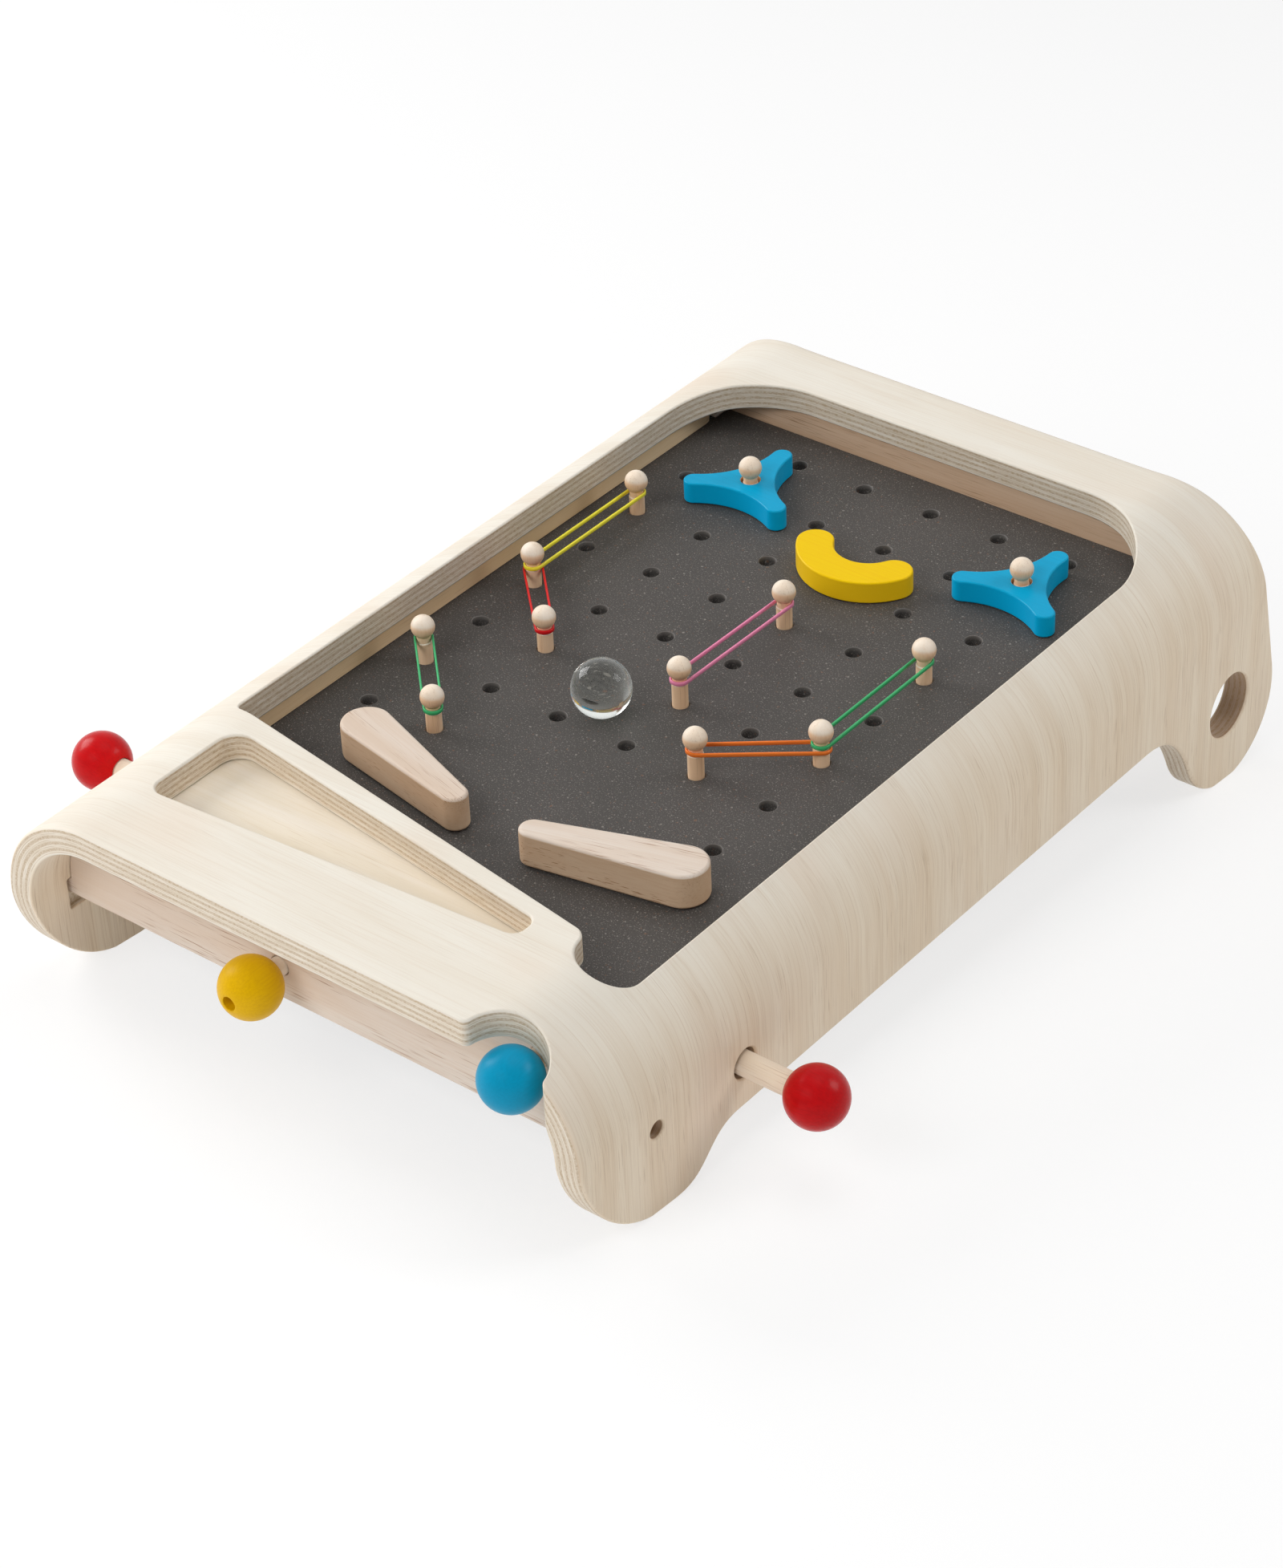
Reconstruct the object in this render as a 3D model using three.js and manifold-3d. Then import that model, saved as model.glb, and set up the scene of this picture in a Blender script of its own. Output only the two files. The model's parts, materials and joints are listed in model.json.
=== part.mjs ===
// A tabletop pinball game of wood: a bent plywood shell over a peg board, with flippers that push rods work.
// Sizes are millimetres and degrees in the board's frame: X right, Y to the back, Z up from the play face.
import * as THREE from "three";
import { mergeVertices } from "three/addons/utils/BufferGeometryUtils.js";
import Module from "manifold-3d";

const wasm = await Module();
wasm.setup();

// Clearance between pieces that meet, and the overrun of a cut past a face
const GAP = 0.3;
const OVERRUN = 2;
const DIVISIONS = 8;
const FINE_DIVISIONS = 10;
const LARGE_ROUND_SIDES = 40;
const ROUND_SIDES = 20;
const SMALL_ROUND_SIDES = 16;

// The board rises towards the back, and each foot is planed level where it stands
const BOARD_TILT = 5.4;
const STAND_HEIGHT = 66.1;

// Bent plywood shell
const SHELL_WIDTH = 286;
const SHELL_LENGTH = 455;
const SHELL_TOP = 24;
const PLY = 12;
const BEND_RADIUS = 47;
const FRONT_ARRIS = 2.5;
const BACK_ARRIS = 6;
const BACK_LEAN = 11.9;

// Lower edge of the side walls
const FRONT_EDGE_DEPTH = 21;
const FRONT_FOOT_Y = 50;
const FRONT_FOOT_DEPTH = 71.5;
const FRONT_FOOT_FLAT = 6;
const FRONT_FOOT_HEEL = 35;
const SKIRT_DEPTH = 55.5;
const SKIRT_END_DEPTH = 57.5;
const REAR_FOOT_RUN = 83;
const REAR_FOOT_SETBACK = 15;
const REAR_FOOT_DEPTH = 74;
const REAR_FOOT_RADIUS = 34.8;
const REAR_FOOT_JOIN = 203;
const TOE_EASE_SHARE = 0.36;
const TOE_ROUND_SHARE = 0.62;
const HEEL_EASE_SHARE = 0.5;
const REAR_EASE_SHARE = 0.61;
const REAR_JOIN_SHARE = 0.44;

// Holes in the walls
const LEG_HOLE_AHEAD = 1.8;
const LEG_HOLE_DEPTH = 68.9;
const LEG_HOLE_RADIUS = 15;
const CORD_HOLE_Y = 43.6;
const CORD_HOLE_DEPTH = 31.3;
const CORD_HOLE_RADIUS = 3.75;
const ROD_HOLE_RADIUS = 6.5;

// Opening over the play field, set in from the shell's edges, with the plunger lobe at its right front
const LEFT_RIM = 33.5;
const RIGHT_RIM = 20.5;
const BACK_RIM = 33.3;
const OPENING_LEFT_RADIUS = 46;
const OPENING_RIGHT_RADIUS = 44;
const OPENING_CORNER = 4;
const OPENING_FLOOR = 5;
const FRONT_EDGE_Y = 60.655;
const FRONT_EDGE_SLOPE = 9.43;
const LOBE_Y = 62;
const LOBE_RADIUS = 13;
const LOBE_CORNER = 7;

// Marble tray cut through the top, and the finger notch over the plunger
const TRAY_LEFT_RIM = 45.8;
const TRAY_RIGHT_RIM = 67;
const TRAY_FRONT_LEFT_Y = 37;
const TRAY_FRONT_RIGHT_Y = 49;
const TRAY_BACK_LEFT_LAND = 10.65;
const TRAY_BACK_RIGHT_LAND = 7.98;
const TRAY_FRONT_RADIUS = 6;
const TRAY_BACK_RADIUS = 9;
const TRAY_RIGHT_RADIUS = 5;
const TRAY_LEFT_LANDING = 2.8;
const TRAY_RIGHT_LANDING = 9.8;
const TRAY_FLOOR = 4;
const TRAY_SETBACK = 2;
const NOTCH_RIM = 33;
const NOTCH_RADIUS = 16.6;
const NOTCH_FLOOR = 8;

// Rails between the walls, and the pockets that take the front rail's ends
const RAIL_FACE = 21;
const RAIL_THICKNESS = 12;
const RAIL_DEPTH = 31.5;
const RAIL_TENON_TOP = 24;
const POCKET_CUT = 3;
const POCKET_FACE = 19;
const POCKET_DEPTH = 38.5;
const BACK_RAIL_THICKNESS = 14;
const BACK_RAIL_DEPTH = 25;

// Play board and its peg holes
const BOARD = 9;
const BOARD_COVER = 0.7;
const COLUMN_COUNT = 6;
const ROW_COUNT = 8;
const NO_HOLES = ["c1_r1", "c3_r8", "c4_r8", "c5_r8"];
const FIRST_COLUMN_SPACE = 17.3;
const LAST_COLUMN_SPACE = 39.7;
const FIRST_ROW_SPACE = 20.3;
const LAST_ROW_Y = 156.4;
const PEG_HOLE_RADIUS = 3.65;

// Pieces that line and carry the board
const STRIP_SETBACK = 2.2;
const STRIP_START = 40;
const STRIP_ROUND = 6;
const CORNER_BLOCK = 10.4;
const CLEAT_REACH = 17;
const CLEAT_HEIGHT = 12;
const CLEAT_END_SPACE = 3;

// Pegs, all alike and pushed in to different depths: a round head, a groove for a band and a plain shaft
const PEG_RADIUS = 3.35;
const PEG_NECK_RADIUS = 3;
const PEG_HEAD_RADIUS = 5;
const PEG_LENGTH = 23;
const PEG_CHAMFER = 0.7;
const HEAD_STEP_COUNT = 7;
const BAND_HEIGHT = 1.8;
const BAND_THICKNESS = 0.9;
const BAND_DROP = 5.5;
const BAND_ROUND = 0.2;
const DEEP_HEAD = 14.7;
const LOW_HEAD = 15.2;
const HIGH_HEAD = 16.2;
const LOOSE_HEAD = 17.4;
const PEG_HEADS = {
  c1_r3: DEEP_HEAD,
  c1_r5: DEEP_HEAD,
  c2_r6: LOW_HEAD,
  c1_r7: HIGH_HEAD,
  c2_r8: LOW_HEAD,
  c4_r6: LOOSE_HEAD,
  c4_r4: HIGH_HEAD,
  c5_r7: LOOSE_HEAD,
  c6_r6: DEEP_HEAD,
  c6_r4: DEEP_HEAD,
  c2_r2: HIGH_HEAD,
  c6_r2: HIGH_HEAD,
};

// Rubber bands: each runs between two pegs, in the first or second place below their heads
const BANDS = [
  { name: "band_yellow", from: "c1_r3", to: "c1_r5", fromPlace: 0, toPlace: 0, colour: 0xe8dc2a },
  { name: "band_red", from: "c1_r5", to: "c2_r6", fromPlace: 1, toPlace: 0, colour: 0xd3262c },
  { name: "band_green_left", from: "c1_r7", to: "c2_r8", fromPlace: 0, toPlace: 0, colour: 0x2fae58 },
  { name: "band_pink", from: "c4_r4", to: "c4_r6", fromPlace: 0, toPlace: 0, colour: 0xe889b6 },
  { name: "band_green_right", from: "c6_r4", to: "c6_r6", fromPlace: 0, toPlace: 0, colour: 0x2fae58 },
  { name: "band_orange", from: "c6_r6", to: "c5_r7", fromPlace: 1, toPlace: 0, colour: 0xe8631c },
];

// Spinners and the fixed arc
const ARM_COUNT = 3;
const SPINNER_REACH = 24.5;
const SPINNER_TIP = 4.5;
const SPINNER_WAIST = 10.7;
const SPINNER_HOLE = 4.2;
const LEFT_SPINNER_ANGLE = 93;
const RIGHT_SPINNER_ANGLE = 86;
const SPINNERS = [
  { name: "spinner_left", hole: "c2_r2", angle: LEFT_SPINNER_ANGLE },
  { name: "spinner_right", hole: "c6_r2", angle: RIGHT_SPINNER_ANGLE },
];
const TOY_THICKNESS = 10;
const TOY_ARRIS = 0.8;
const ARC_ASIDE = 1.7;
const ARC_BEHIND = 22.7;
const ARC_RADIUS = 23;
const ARC_HALF_WIDTH = 8;
const ARC_START = 206;
const ARC_END = 332;
const ARC_PIN_HOLE = "c4_r3";
const ARC_PIN_SEAT = 6;
const ARC_PIN_DEPTH = 8;

// Flippers, their pivots and the cranks under the board. The gap between the tips is the drain
const LEFT_PIVOT_SPACE = 42.75;
const RIGHT_PIVOT_SPACE = 31.55;
const PIVOT_BELOW_ROW = 28.6;
const DRAIN = 28.1;
const FLIPPER_ROOT = 10.5;
const FLIPPER_TIP = 5.7;
const FLIPPER_THICKNESS = 15.5;
const FLIPPER_ARRIS = 1.5;
const FLIPPER_DROOP = 15.4;
const FLIPPER_LIFT = 0.6;
const PIVOT_RADIUS = 4;
const PIVOT_SEAT = 10;
const CRANK_LENGTH = 32.7;
const CRANK_HUB = 8;
const CRANK_ARM = 3.5;
const CRANK_NOSE = 5;
const CRANK_THICKNESS = 9;
const CRANK_SWING = 15;

// Push rods and knobs
const ROD_RADIUS = 5;
const ROD_DEPTH = 35.8;
const RIGHT_KNOB_OUT = 32.5;
const LEFT_KNOB_OUT = 46.5;
const KNOB_RADIUS = 12.7;
const KNOB_SEAT = 12;
const COLLAR_RADIUS = 8.5;
const COLLAR_THICKNESS = 5;
const GUIDE_LENGTH = 12;
const GUIDE_WIDTH = 24;
const GUIDE_DEPTH = 46;

// Plunger and front pull
const PLUNGER_SPACE = 13.6;
const PLUNGER_Z = 2.2;
const KNOB_Y = 5;
const DOWEL_RADIUS = 4;
const PLUNGER_END = 49.5;
const PLUNGER_HEAD_RADIUS = 5.5;
const PLUNGER_HEAD = 3;
const PULL_ASIDE = 19;
const PULL_DEPTH = 16;
const PULL_END = 66;
const PULL_COLLAR_RADIUS = 6.5;
const PULL_BORE_RADIUS = 3;

// Glass marble, at rest beside a hole of the board
const MARBLE_RADIUS = 12.5;
const MARBLE_HOLE = "c3_r7";
const MARBLE_ASIDE = 14.1;
const MARBLE_BEHIND = 11.2;

const rad = THREE.MathUtils.degToRad;
const material = (color, roughness) => new THREE.MeshStandardMaterial({ color, roughness, metalness: 0 });
const VENEER = material(0xefe6d6, 0.5);
const RUBBERWOOD = material(0xdcbfa2, 0.55);
const DOWEL_WOOD = material(0xe9d3b4, 0.55);
const TRAY_WOOD = material(0xeadbbd, 0.5);
const BOARD_GREY = material(0x55524f, 0.7);
const BLUE = material(0x1e96c0, 0.4);
const YELLOW = material(0xefcf1a, 0.4);
const AMBER = material(0xd9b01c, 0.4);
const RED = material(0xc9202a, 0.3);
const GLASS = material(0xe4ecec, 0.05);

const halfWidth = SHELL_WIDTH / 2;
const innerHalfWidth = halfWidth - PLY;
const bendX = halfWidth - BEND_RADIUS;
const bendZ = SHELL_TOP - BEND_RADIUS;
const bendInner = BEND_RADIUS - PLY;
const undersideZ = SHELL_TOP - PLY;
const openingLeft = halfWidth - LEFT_RIM;
const openingRight = halfWidth - RIGHT_RIM;
const openingBack = SHELL_LENGTH - BACK_RIM;
const boardBack = openingBack + BOARD_COVER;
const frontSlope = Math.tan(rad(FRONT_EDGE_SLOPE));
const frontEdgeAt = (x) => FRONT_EDGE_Y + frontSlope * (openingRight - x);
const skirtEndY = SHELL_LENGTH - REAR_FOOT_RUN;
const rearFootY = SHELL_LENGTH - REAR_FOOT_SETBACK;
const trayLeft = halfWidth - TRAY_LEFT_RIM;
const trayRight = halfWidth - TRAY_RIGHT_RIM;
const notchX = halfWidth - NOTCH_RIM;
const stripFace = openingLeft + STRIP_SETBACK;
const stripEnd = boardBack - CORNER_BLOCK;
const cleatFace = innerHalfWidth - CLEAT_REACH;
const plungerX = openingRight - PLUNGER_SPACE;
const pullX = -PULL_ASIDE;

// Places of the board's holes: a hole's name gives its column from the left and its row from the back
const rowLength = openingLeft + openingRight - FIRST_COLUMN_SPACE - LAST_COLUMN_SPACE;
const columnPitch = rowLength / (COLUMN_COUNT - 1);
const rowPitch = (openingBack - FIRST_ROW_SPACE - LAST_ROW_Y) / (ROW_COUNT - 1);
const holeX = (column) => FIRST_COLUMN_SPACE - openingLeft + (column - 1) * columnPitch;
const holeY = (row) => openingBack - FIRST_ROW_SPACE - (row - 1) * rowPitch;
const holeName = (column, row) => "c" + column + "_r" + row;

function holePlace(name) {
  const [column, row] = name.match(/\d+/g).map(Number);
  return [holeX(column), holeY(row)];
}

// Half the clear width inside the shell at height z, where its walls bend over
function innerHalfAt(z) {
  const rise = Math.max(z - bendZ, 0);
  return bendX + Math.sqrt((bendInner - GAP) ** 2 - rise ** 2);
}

// Solids

function solid(geometry) {
  const bare = geometry.clone();
  bare.deleteAttribute("normal");
  bare.deleteAttribute("uv");
  const merged = mergeVertices(bare);
  const triVerts = new Uint32Array(merged.index.array);
  const vertProperties = merged.attributes.position.array;
  return new wasm.Manifold(new wasm.Mesh({ numProp: 3, vertProperties, triVerts }));
}

function geometryOf(body) {
  const { vertProperties, triVerts } = body.getMesh();
  const geometry = new THREE.BufferGeometry();
  geometry.setAttribute("position", new THREE.BufferAttribute(vertProperties, 3));
  geometry.setIndex(new THREE.BufferAttribute(triVerts, 1));
  const flat = geometry.toNonIndexed();
  flat.computeVertexNormals();
  return flat;
}

// A plan outline raised from one height to another, its arrises rounded by bevel
function slab(shape, from, to, bevel = 0, divisions = DIVISIONS) {
  const geometry = new THREE.ExtrudeGeometry(shape, {
    depth: to - from - 2 * bevel,
    curveSegments: divisions,
    bevelEnabled: bevel > 0,
    bevelThickness: bevel,
    bevelSize: bevel,
    bevelOffset: -bevel,
    bevelSegments: Math.ceil(bevel),
  });
  return geometry.translate(0, 0, from + bevel);
}

// An outline drawn in Y and Z, run along X
function runAlongX(shape, from, to) {
  const geometry = slab(shape, from, to, 0, FINE_DIVISIONS);
  return geometry.rotateY(Math.PI / 2).rotateX(Math.PI / 2);
}

// An outline drawn in X and Z, run along Y
function runAlongY(shape, from, to) {
  return slab(shape, -to, -from, 0, FINE_DIVISIONS).rotateX(Math.PI / 2);
}

function box(from, to) {
  const size = to.map((end, i) => end - from[i]);
  const middle = to.map((end, i) => (end + from[i]) / 2);
  return new THREE.BoxGeometry(...size).translate(...middle);
}

function rodX(radius, from, to, y, z, sides = ROUND_SIDES) {
  const geometry = new THREE.CylinderGeometry(radius, radius, to - from, sides);
  return geometry.rotateZ(Math.PI / 2).translate((from + to) / 2, y, z);
}

function rodY(radius, from, to, x, z, sides = ROUND_SIDES) {
  const geometry = new THREE.CylinderGeometry(radius, radius, to - from, sides);
  return geometry.translate(x, (from + to) / 2, z);
}

function rodZ(radius, from, to, x, y, sides = ROUND_SIDES) {
  const geometry = new THREE.CylinderGeometry(radius, radius, to - from, sides);
  return geometry.rotateX(Math.PI / 2).translate(x, y, (from + to) / 2);
}

function without(geometry, ...cuts) {
  let body = solid(geometry);
  for (const cut of cuts) body = body.subtract(solid(cut));
  return geometryOf(body);
}

// An outline through corners [x, y, radius], each rounded by its radius
function roundedOutline(corners) {
  const shape = new THREE.Shape();
  const count = corners.length;
  corners.forEach(([x, y, radius], i) => {
    const corner = new THREE.Vector2(x, y);
    const towards = (other) => new THREE.Vector2(other[0], other[1]).sub(corner).normalize();
    const before = towards(corners[(i + count - 1) % count]);
    const after = towards(corners[(i + 1) % count]);
    const halfAngle = Math.acos(before.dot(after)) / 2;
    const reach = radius / Math.tan(halfAngle);
    const start = corner.clone().addScaledVector(before, reach);
    const middle = before.clone().add(after).normalize();
    const centre = corner.clone().addScaledVector(middle, radius / Math.sin(halfAngle));
    const end = corner.clone().addScaledVector(after, reach);
    const angleOf = (point) => Math.atan2(point.y - centre.y, point.x - centre.x);
    shape[i ? "lineTo" : "moveTo"](start.x, start.y);
    if (radius === 0) return;
    shape.absarc(centre.x, centre.y, radius, angleOf(start), angleOf(end), before.cross(after) > 0);
  });
  return shape;
}

// Two circles a length apart and their tangents, as a flipper or a stretched band is shaped
function taperedOutline(root, tip, length) {
  const spread = Math.acos((root - tip) / length);
  const shape = new THREE.Shape();
  shape.absarc(0, 0, root, spread, -spread, false);
  shape.absarc(length, 0, tip, -spread, spread, false);
  return shape;
}

// Plywood shell

// The bent sheet seen from the front
function shellSection() {
  const foot = bendZ - SHELL_WIDTH;
  const shape = new THREE.Shape();
  shape.moveTo(halfWidth, foot);
  shape.absarc(bendX, bendZ, BEND_RADIUS, 0, Math.PI / 2, false);
  shape.absarc(-bendX, bendZ, BEND_RADIUS, Math.PI / 2, Math.PI, false);
  shape.lineTo(-halfWidth, foot);
  shape.lineTo(-innerHalfWidth, foot);
  shape.absarc(-bendX, bendZ, bendInner, Math.PI, Math.PI / 2, true);
  shape.absarc(bendX, bendZ, bendInner, Math.PI / 2, 0, true);
  shape.lineTo(innerHalfWidth, foot);
  return shape;
}

// The side's outline in Y and Z, from the front edge round both feet to the leaning back edge
function sideOutline() {
  const shape = new THREE.Shape();
  const toeDrop = FRONT_FOOT_DEPTH - FRONT_EDGE_DEPTH;
  const heelY = FRONT_FOOT_Y + FRONT_FOOT_FLAT;
  const skirtY = heelY + FRONT_FOOT_HEEL;
  const lean = Math.tan(rad(BACK_LEAN));
  const join = new THREE.Vector2(Math.cos(rad(REAR_FOOT_JOIN)), Math.sin(rad(REAR_FOOT_JOIN)));
  const joinY = rearFootY + join.x * REAR_FOOT_RADIUS;
  const joinZ = join.y * REAR_FOOT_RADIUS - REAR_FOOT_DEPTH;
  const reach = joinY - skirtEndY;
  const ease = REAR_JOIN_SHARE * reach;
  shape.moveTo(FRONT_ARRIS, SHELL_TOP);
  shape.quadraticCurveTo(0, SHELL_TOP, 0, SHELL_TOP - FRONT_ARRIS);
  shape.lineTo(0, -FRONT_EDGE_DEPTH);
  shape.bezierCurveTo(
    0,
    -FRONT_EDGE_DEPTH - TOE_EASE_SHARE * toeDrop,
    FRONT_FOOT_Y * (1 - TOE_ROUND_SHARE),
    -FRONT_FOOT_DEPTH,
    FRONT_FOOT_Y,
    -FRONT_FOOT_DEPTH,
  );
  shape.lineTo(heelY, -FRONT_FOOT_DEPTH);
  shape.bezierCurveTo(
    heelY + HEEL_EASE_SHARE * FRONT_FOOT_HEEL,
    -FRONT_FOOT_DEPTH,
    skirtY - HEEL_EASE_SHARE * FRONT_FOOT_HEEL,
    -SKIRT_DEPTH,
    skirtY,
    -SKIRT_DEPTH,
  );
  shape.lineTo(skirtEndY, -SKIRT_END_DEPTH);
  shape.bezierCurveTo(
    skirtEndY + REAR_EASE_SHARE * reach,
    -SKIRT_END_DEPTH,
    joinY + join.y * ease,
    joinZ - join.x * ease,
    joinY,
    joinZ,
  );
  shape.absarc(rearFootY, -REAR_FOOT_DEPTH, REAR_FOOT_RADIUS, rad(REAR_FOOT_JOIN), rad(BACK_LEAN), false);
  shape.lineTo(SHELL_LENGTH + lean * BACK_ARRIS, SHELL_TOP - BACK_ARRIS);
  shape.quadraticCurveTo(SHELL_LENGTH, SHELL_TOP, SHELL_LENGTH - BACK_ARRIS, SHELL_TOP);
  return shape;
}

// The corner of ply between the slanted front edge and the lobe is a round that touches both
function lobeCorner() {
  const stretch = Math.hypot(1, frontSlope);
  const lobeX = openingRight - LOBE_RADIUS;
  const rise = frontEdgeAt(0) - LOBE_CORNER * stretch - LOBE_Y;
  const a = stretch ** 2;
  const b = lobeX + rise * frontSlope;
  const c = lobeX ** 2 + rise ** 2 - (LOBE_RADIUS + LOBE_CORNER) ** 2;
  const x = (b - Math.sqrt(b ** 2 - a * c)) / a;
  return new THREE.Vector2(x, LOBE_Y + rise - frontSlope * x);
}

function openingOutline() {
  const lobeX = openingRight - LOBE_RADIUS;
  const corner = lobeCorner();
  const towardsLobe = Math.atan2(LOBE_Y - corner.y, lobeX - corner.x);
  const slant = rad(FRONT_EDGE_SLOPE);
  const leftY = frontEdgeAt(-openingLeft);
  const reach = OPENING_CORNER * Math.tan(Math.PI / 4 - slant / 2);
  const rightBendX = openingRight - OPENING_RIGHT_RADIUS;
  const leftBendX = OPENING_LEFT_RADIUS - openingLeft;
  const leftBendY = openingBack - OPENING_LEFT_RADIUS;
  const rightBendY = openingBack - OPENING_RIGHT_RADIUS;
  const shape = new THREE.Shape();
  shape.moveTo(-openingLeft, leftY + reach);
  shape.quadraticCurveTo(-openingLeft, leftY, reach - openingLeft, frontEdgeAt(reach - openingLeft));
  shape.absarc(corner.x, corner.y, LOBE_CORNER, Math.PI / 2 - slant, towardsLobe, true);
  shape.absarc(lobeX, LOBE_Y, LOBE_RADIUS, towardsLobe + Math.PI, 2 * Math.PI, false);
  shape.absarc(rightBendX, rightBendY, OPENING_RIGHT_RADIUS, 0, Math.PI / 2, false);
  shape.absarc(leftBendX, leftBendY, OPENING_LEFT_RADIUS, Math.PI / 2, Math.PI, false);
  return shape;
}

function trayOutline() {
  const backLeftY = frontEdgeAt(-trayLeft) - TRAY_BACK_LEFT_LAND;
  const backRightY = frontEdgeAt(trayRight) - TRAY_BACK_RIGHT_LAND;
  return roundedOutline([
    [-trayLeft, TRAY_FRONT_LEFT_Y, TRAY_FRONT_RADIUS],
    [trayRight, TRAY_FRONT_RIGHT_Y, TRAY_RIGHT_RADIUS],
    [trayRight, backRightY, TRAY_RIGHT_RADIUS],
    [-trayLeft, backLeftY, TRAY_BACK_RADIUS],
  ]);
}

// Everything above the table, in the board's frame
function aboveTable() {
  const far = SHELL_LENGTH * 2;
  const space = box([-far, -far, 0], [far, far, far]);
  return space.translate(0, 0, -STAND_HEIGHT).rotateX(-rad(BOARD_TILT));
}

function plywoodShell() {
  const reach = halfWidth + OVERRUN;
  const inside = innerHalfWidth - OVERRUN;
  const above = SHELL_TOP + OVERRUN;
  const sheet = solid(runAlongY(shellSection(), -OVERRUN, SHELL_LENGTH + BEND_RADIUS));
  const side = solid(runAlongX(sideOutline(), -reach, reach));
  const cuts = [
    slab(openingOutline(), -OPENING_FLOOR, above, 0, FINE_DIVISIONS),
    slab(trayOutline(), undersideZ - OVERRUN, above),
    rodZ(NOTCH_RADIUS, -NOTCH_FLOOR, above, notchX, 0, LARGE_ROUND_SIDES),
    rodX(LEG_HOLE_RADIUS, -reach, reach, rearFootY - LEG_HOLE_AHEAD, -LEG_HOLE_DEPTH, LARGE_ROUND_SIDES),
    rodX(ROD_HOLE_RADIUS, -reach, reach, rodY0, -ROD_DEPTH),
    rodX(CORD_HOLE_RADIUS, inside, reach, CORD_HOLE_Y, -CORD_HOLE_DEPTH),
  ];
  for (const sign of [-1, 1]) {
    const edges = [sign * inside, sign * (innerHalfWidth + POCKET_CUT)].sort((a, b) => a - b);
    const low = [edges[0], POCKET_FACE, -POCKET_DEPTH];
    const high = [edges[1], RAIL_FACE + RAIL_THICKNESS + GAP, GAP - RAIL_TENON_TOP];
    cuts.push(box(low, high));
  }
  let body = sheet.intersect(side).intersect(solid(aboveTable()));
  for (const cut of cuts) body = body.subtract(solid(cut));
  return geometryOf(body);
}

// Rails and linings

// A board set across the shell: its top follows the ply's underside and bends
function railOutline(depth, tenonReach) {
  const shape = new THREE.Shape();
  const wall = innerHalfWidth - GAP;
  const bend = bendInner - GAP;
  const end = wall + tenonReach;
  shape.moveTo(end, -depth);
  if (tenonReach > 0) {
    shape.lineTo(end, -RAIL_TENON_TOP);
    shape.lineTo(wall, -RAIL_TENON_TOP);
  }
  shape.absarc(bendX, bendZ, bend, 0, Math.PI / 2, false);
  shape.absarc(-bendX, bendZ, bend, Math.PI / 2, Math.PI, false);
  if (tenonReach > 0) {
    shape.lineTo(-wall, -RAIL_TENON_TOP);
    shape.lineTo(-end, -RAIL_TENON_TOP);
  }
  shape.lineTo(-end, -depth);
  return shape;
}

function frontRail() {
  const back = RAIL_FACE + RAIL_THICKNESS;
  const bore = DOWEL_RADIUS + GAP;
  return without(
    runAlongY(railOutline(RAIL_DEPTH, POCKET_CUT), RAIL_FACE, back),
    rodY(bore, RAIL_FACE - OVERRUN, back + OVERRUN, plungerX, PLUNGER_Z),
    rodY(bore, RAIL_FACE - OVERRUN, back + OVERRUN, pullX, -PULL_DEPTH),
  );
}

function backRail() {
  const face = boardBack + GAP;
  return runAlongY(railOutline(BACK_RAIL_DEPTH, 0), face, face + BACK_RAIL_THICKNESS);
}

// The lining of the left bend: upright towards the field, curved behind
function liningSection() {
  const bend = bendInner - GAP;
  const top = bendZ + Math.sqrt(bend ** 2 - (stripFace - bendX) ** 2);
  const topAngle = Math.atan2(top - bendZ, bendX - stripFace);
  const footAngle = Math.PI - Math.asin((GAP - bendZ) / bend);
  const shape = new THREE.Shape();
  shape.moveTo(-stripFace, GAP);
  shape.absarc(-bendX, bendZ, bend, topAngle, footAngle, false);
  return shape;
}

function liningPiece(from, to, endRound) {
  const plan = roundedOutline([
    [-halfWidth, from, 0],
    [-stripFace, from, 0],
    [-stripFace, to, endRound],
    [-halfWidth, to, 0],
  ]);
  const piece = solid(runAlongY(liningSection(), from, to));
  return geometryOf(piece.intersect(solid(slab(plan, -OVERRUN, SHELL_TOP))));
}

function trayFloor() {
  const left = -trayLeft - TRAY_LEFT_LANDING;
  const right = trayRight + TRAY_RIGHT_LANDING;
  const front = RAIL_FACE + RAIL_THICKNESS + GAP;
  const plan = roundedOutline([
    [left, front, 0],
    [right, front, 0],
    [right, frontEdgeAt(right) - TRAY_SETBACK, 0],
    [left, frontEdgeAt(left) - TRAY_SETBACK, 0],
  ]);
  const top = undersideZ - GAP;
  return slab(plan, top - TRAY_FLOOR, top);
}

function cleat(sign) {
  const top = -BOARD - GAP;
  const front = RAIL_FACE + RAIL_THICKNESS + CLEAT_END_SPACE;
  const xs = [sign * cleatFace, sign * innerHalfAt(top)].sort((a, b) => a - b);
  return box([xs[0], front, top - CLEAT_HEIGHT], [xs[1], boardBack - CLEAT_END_SPACE, top]);
}

// Play board

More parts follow.
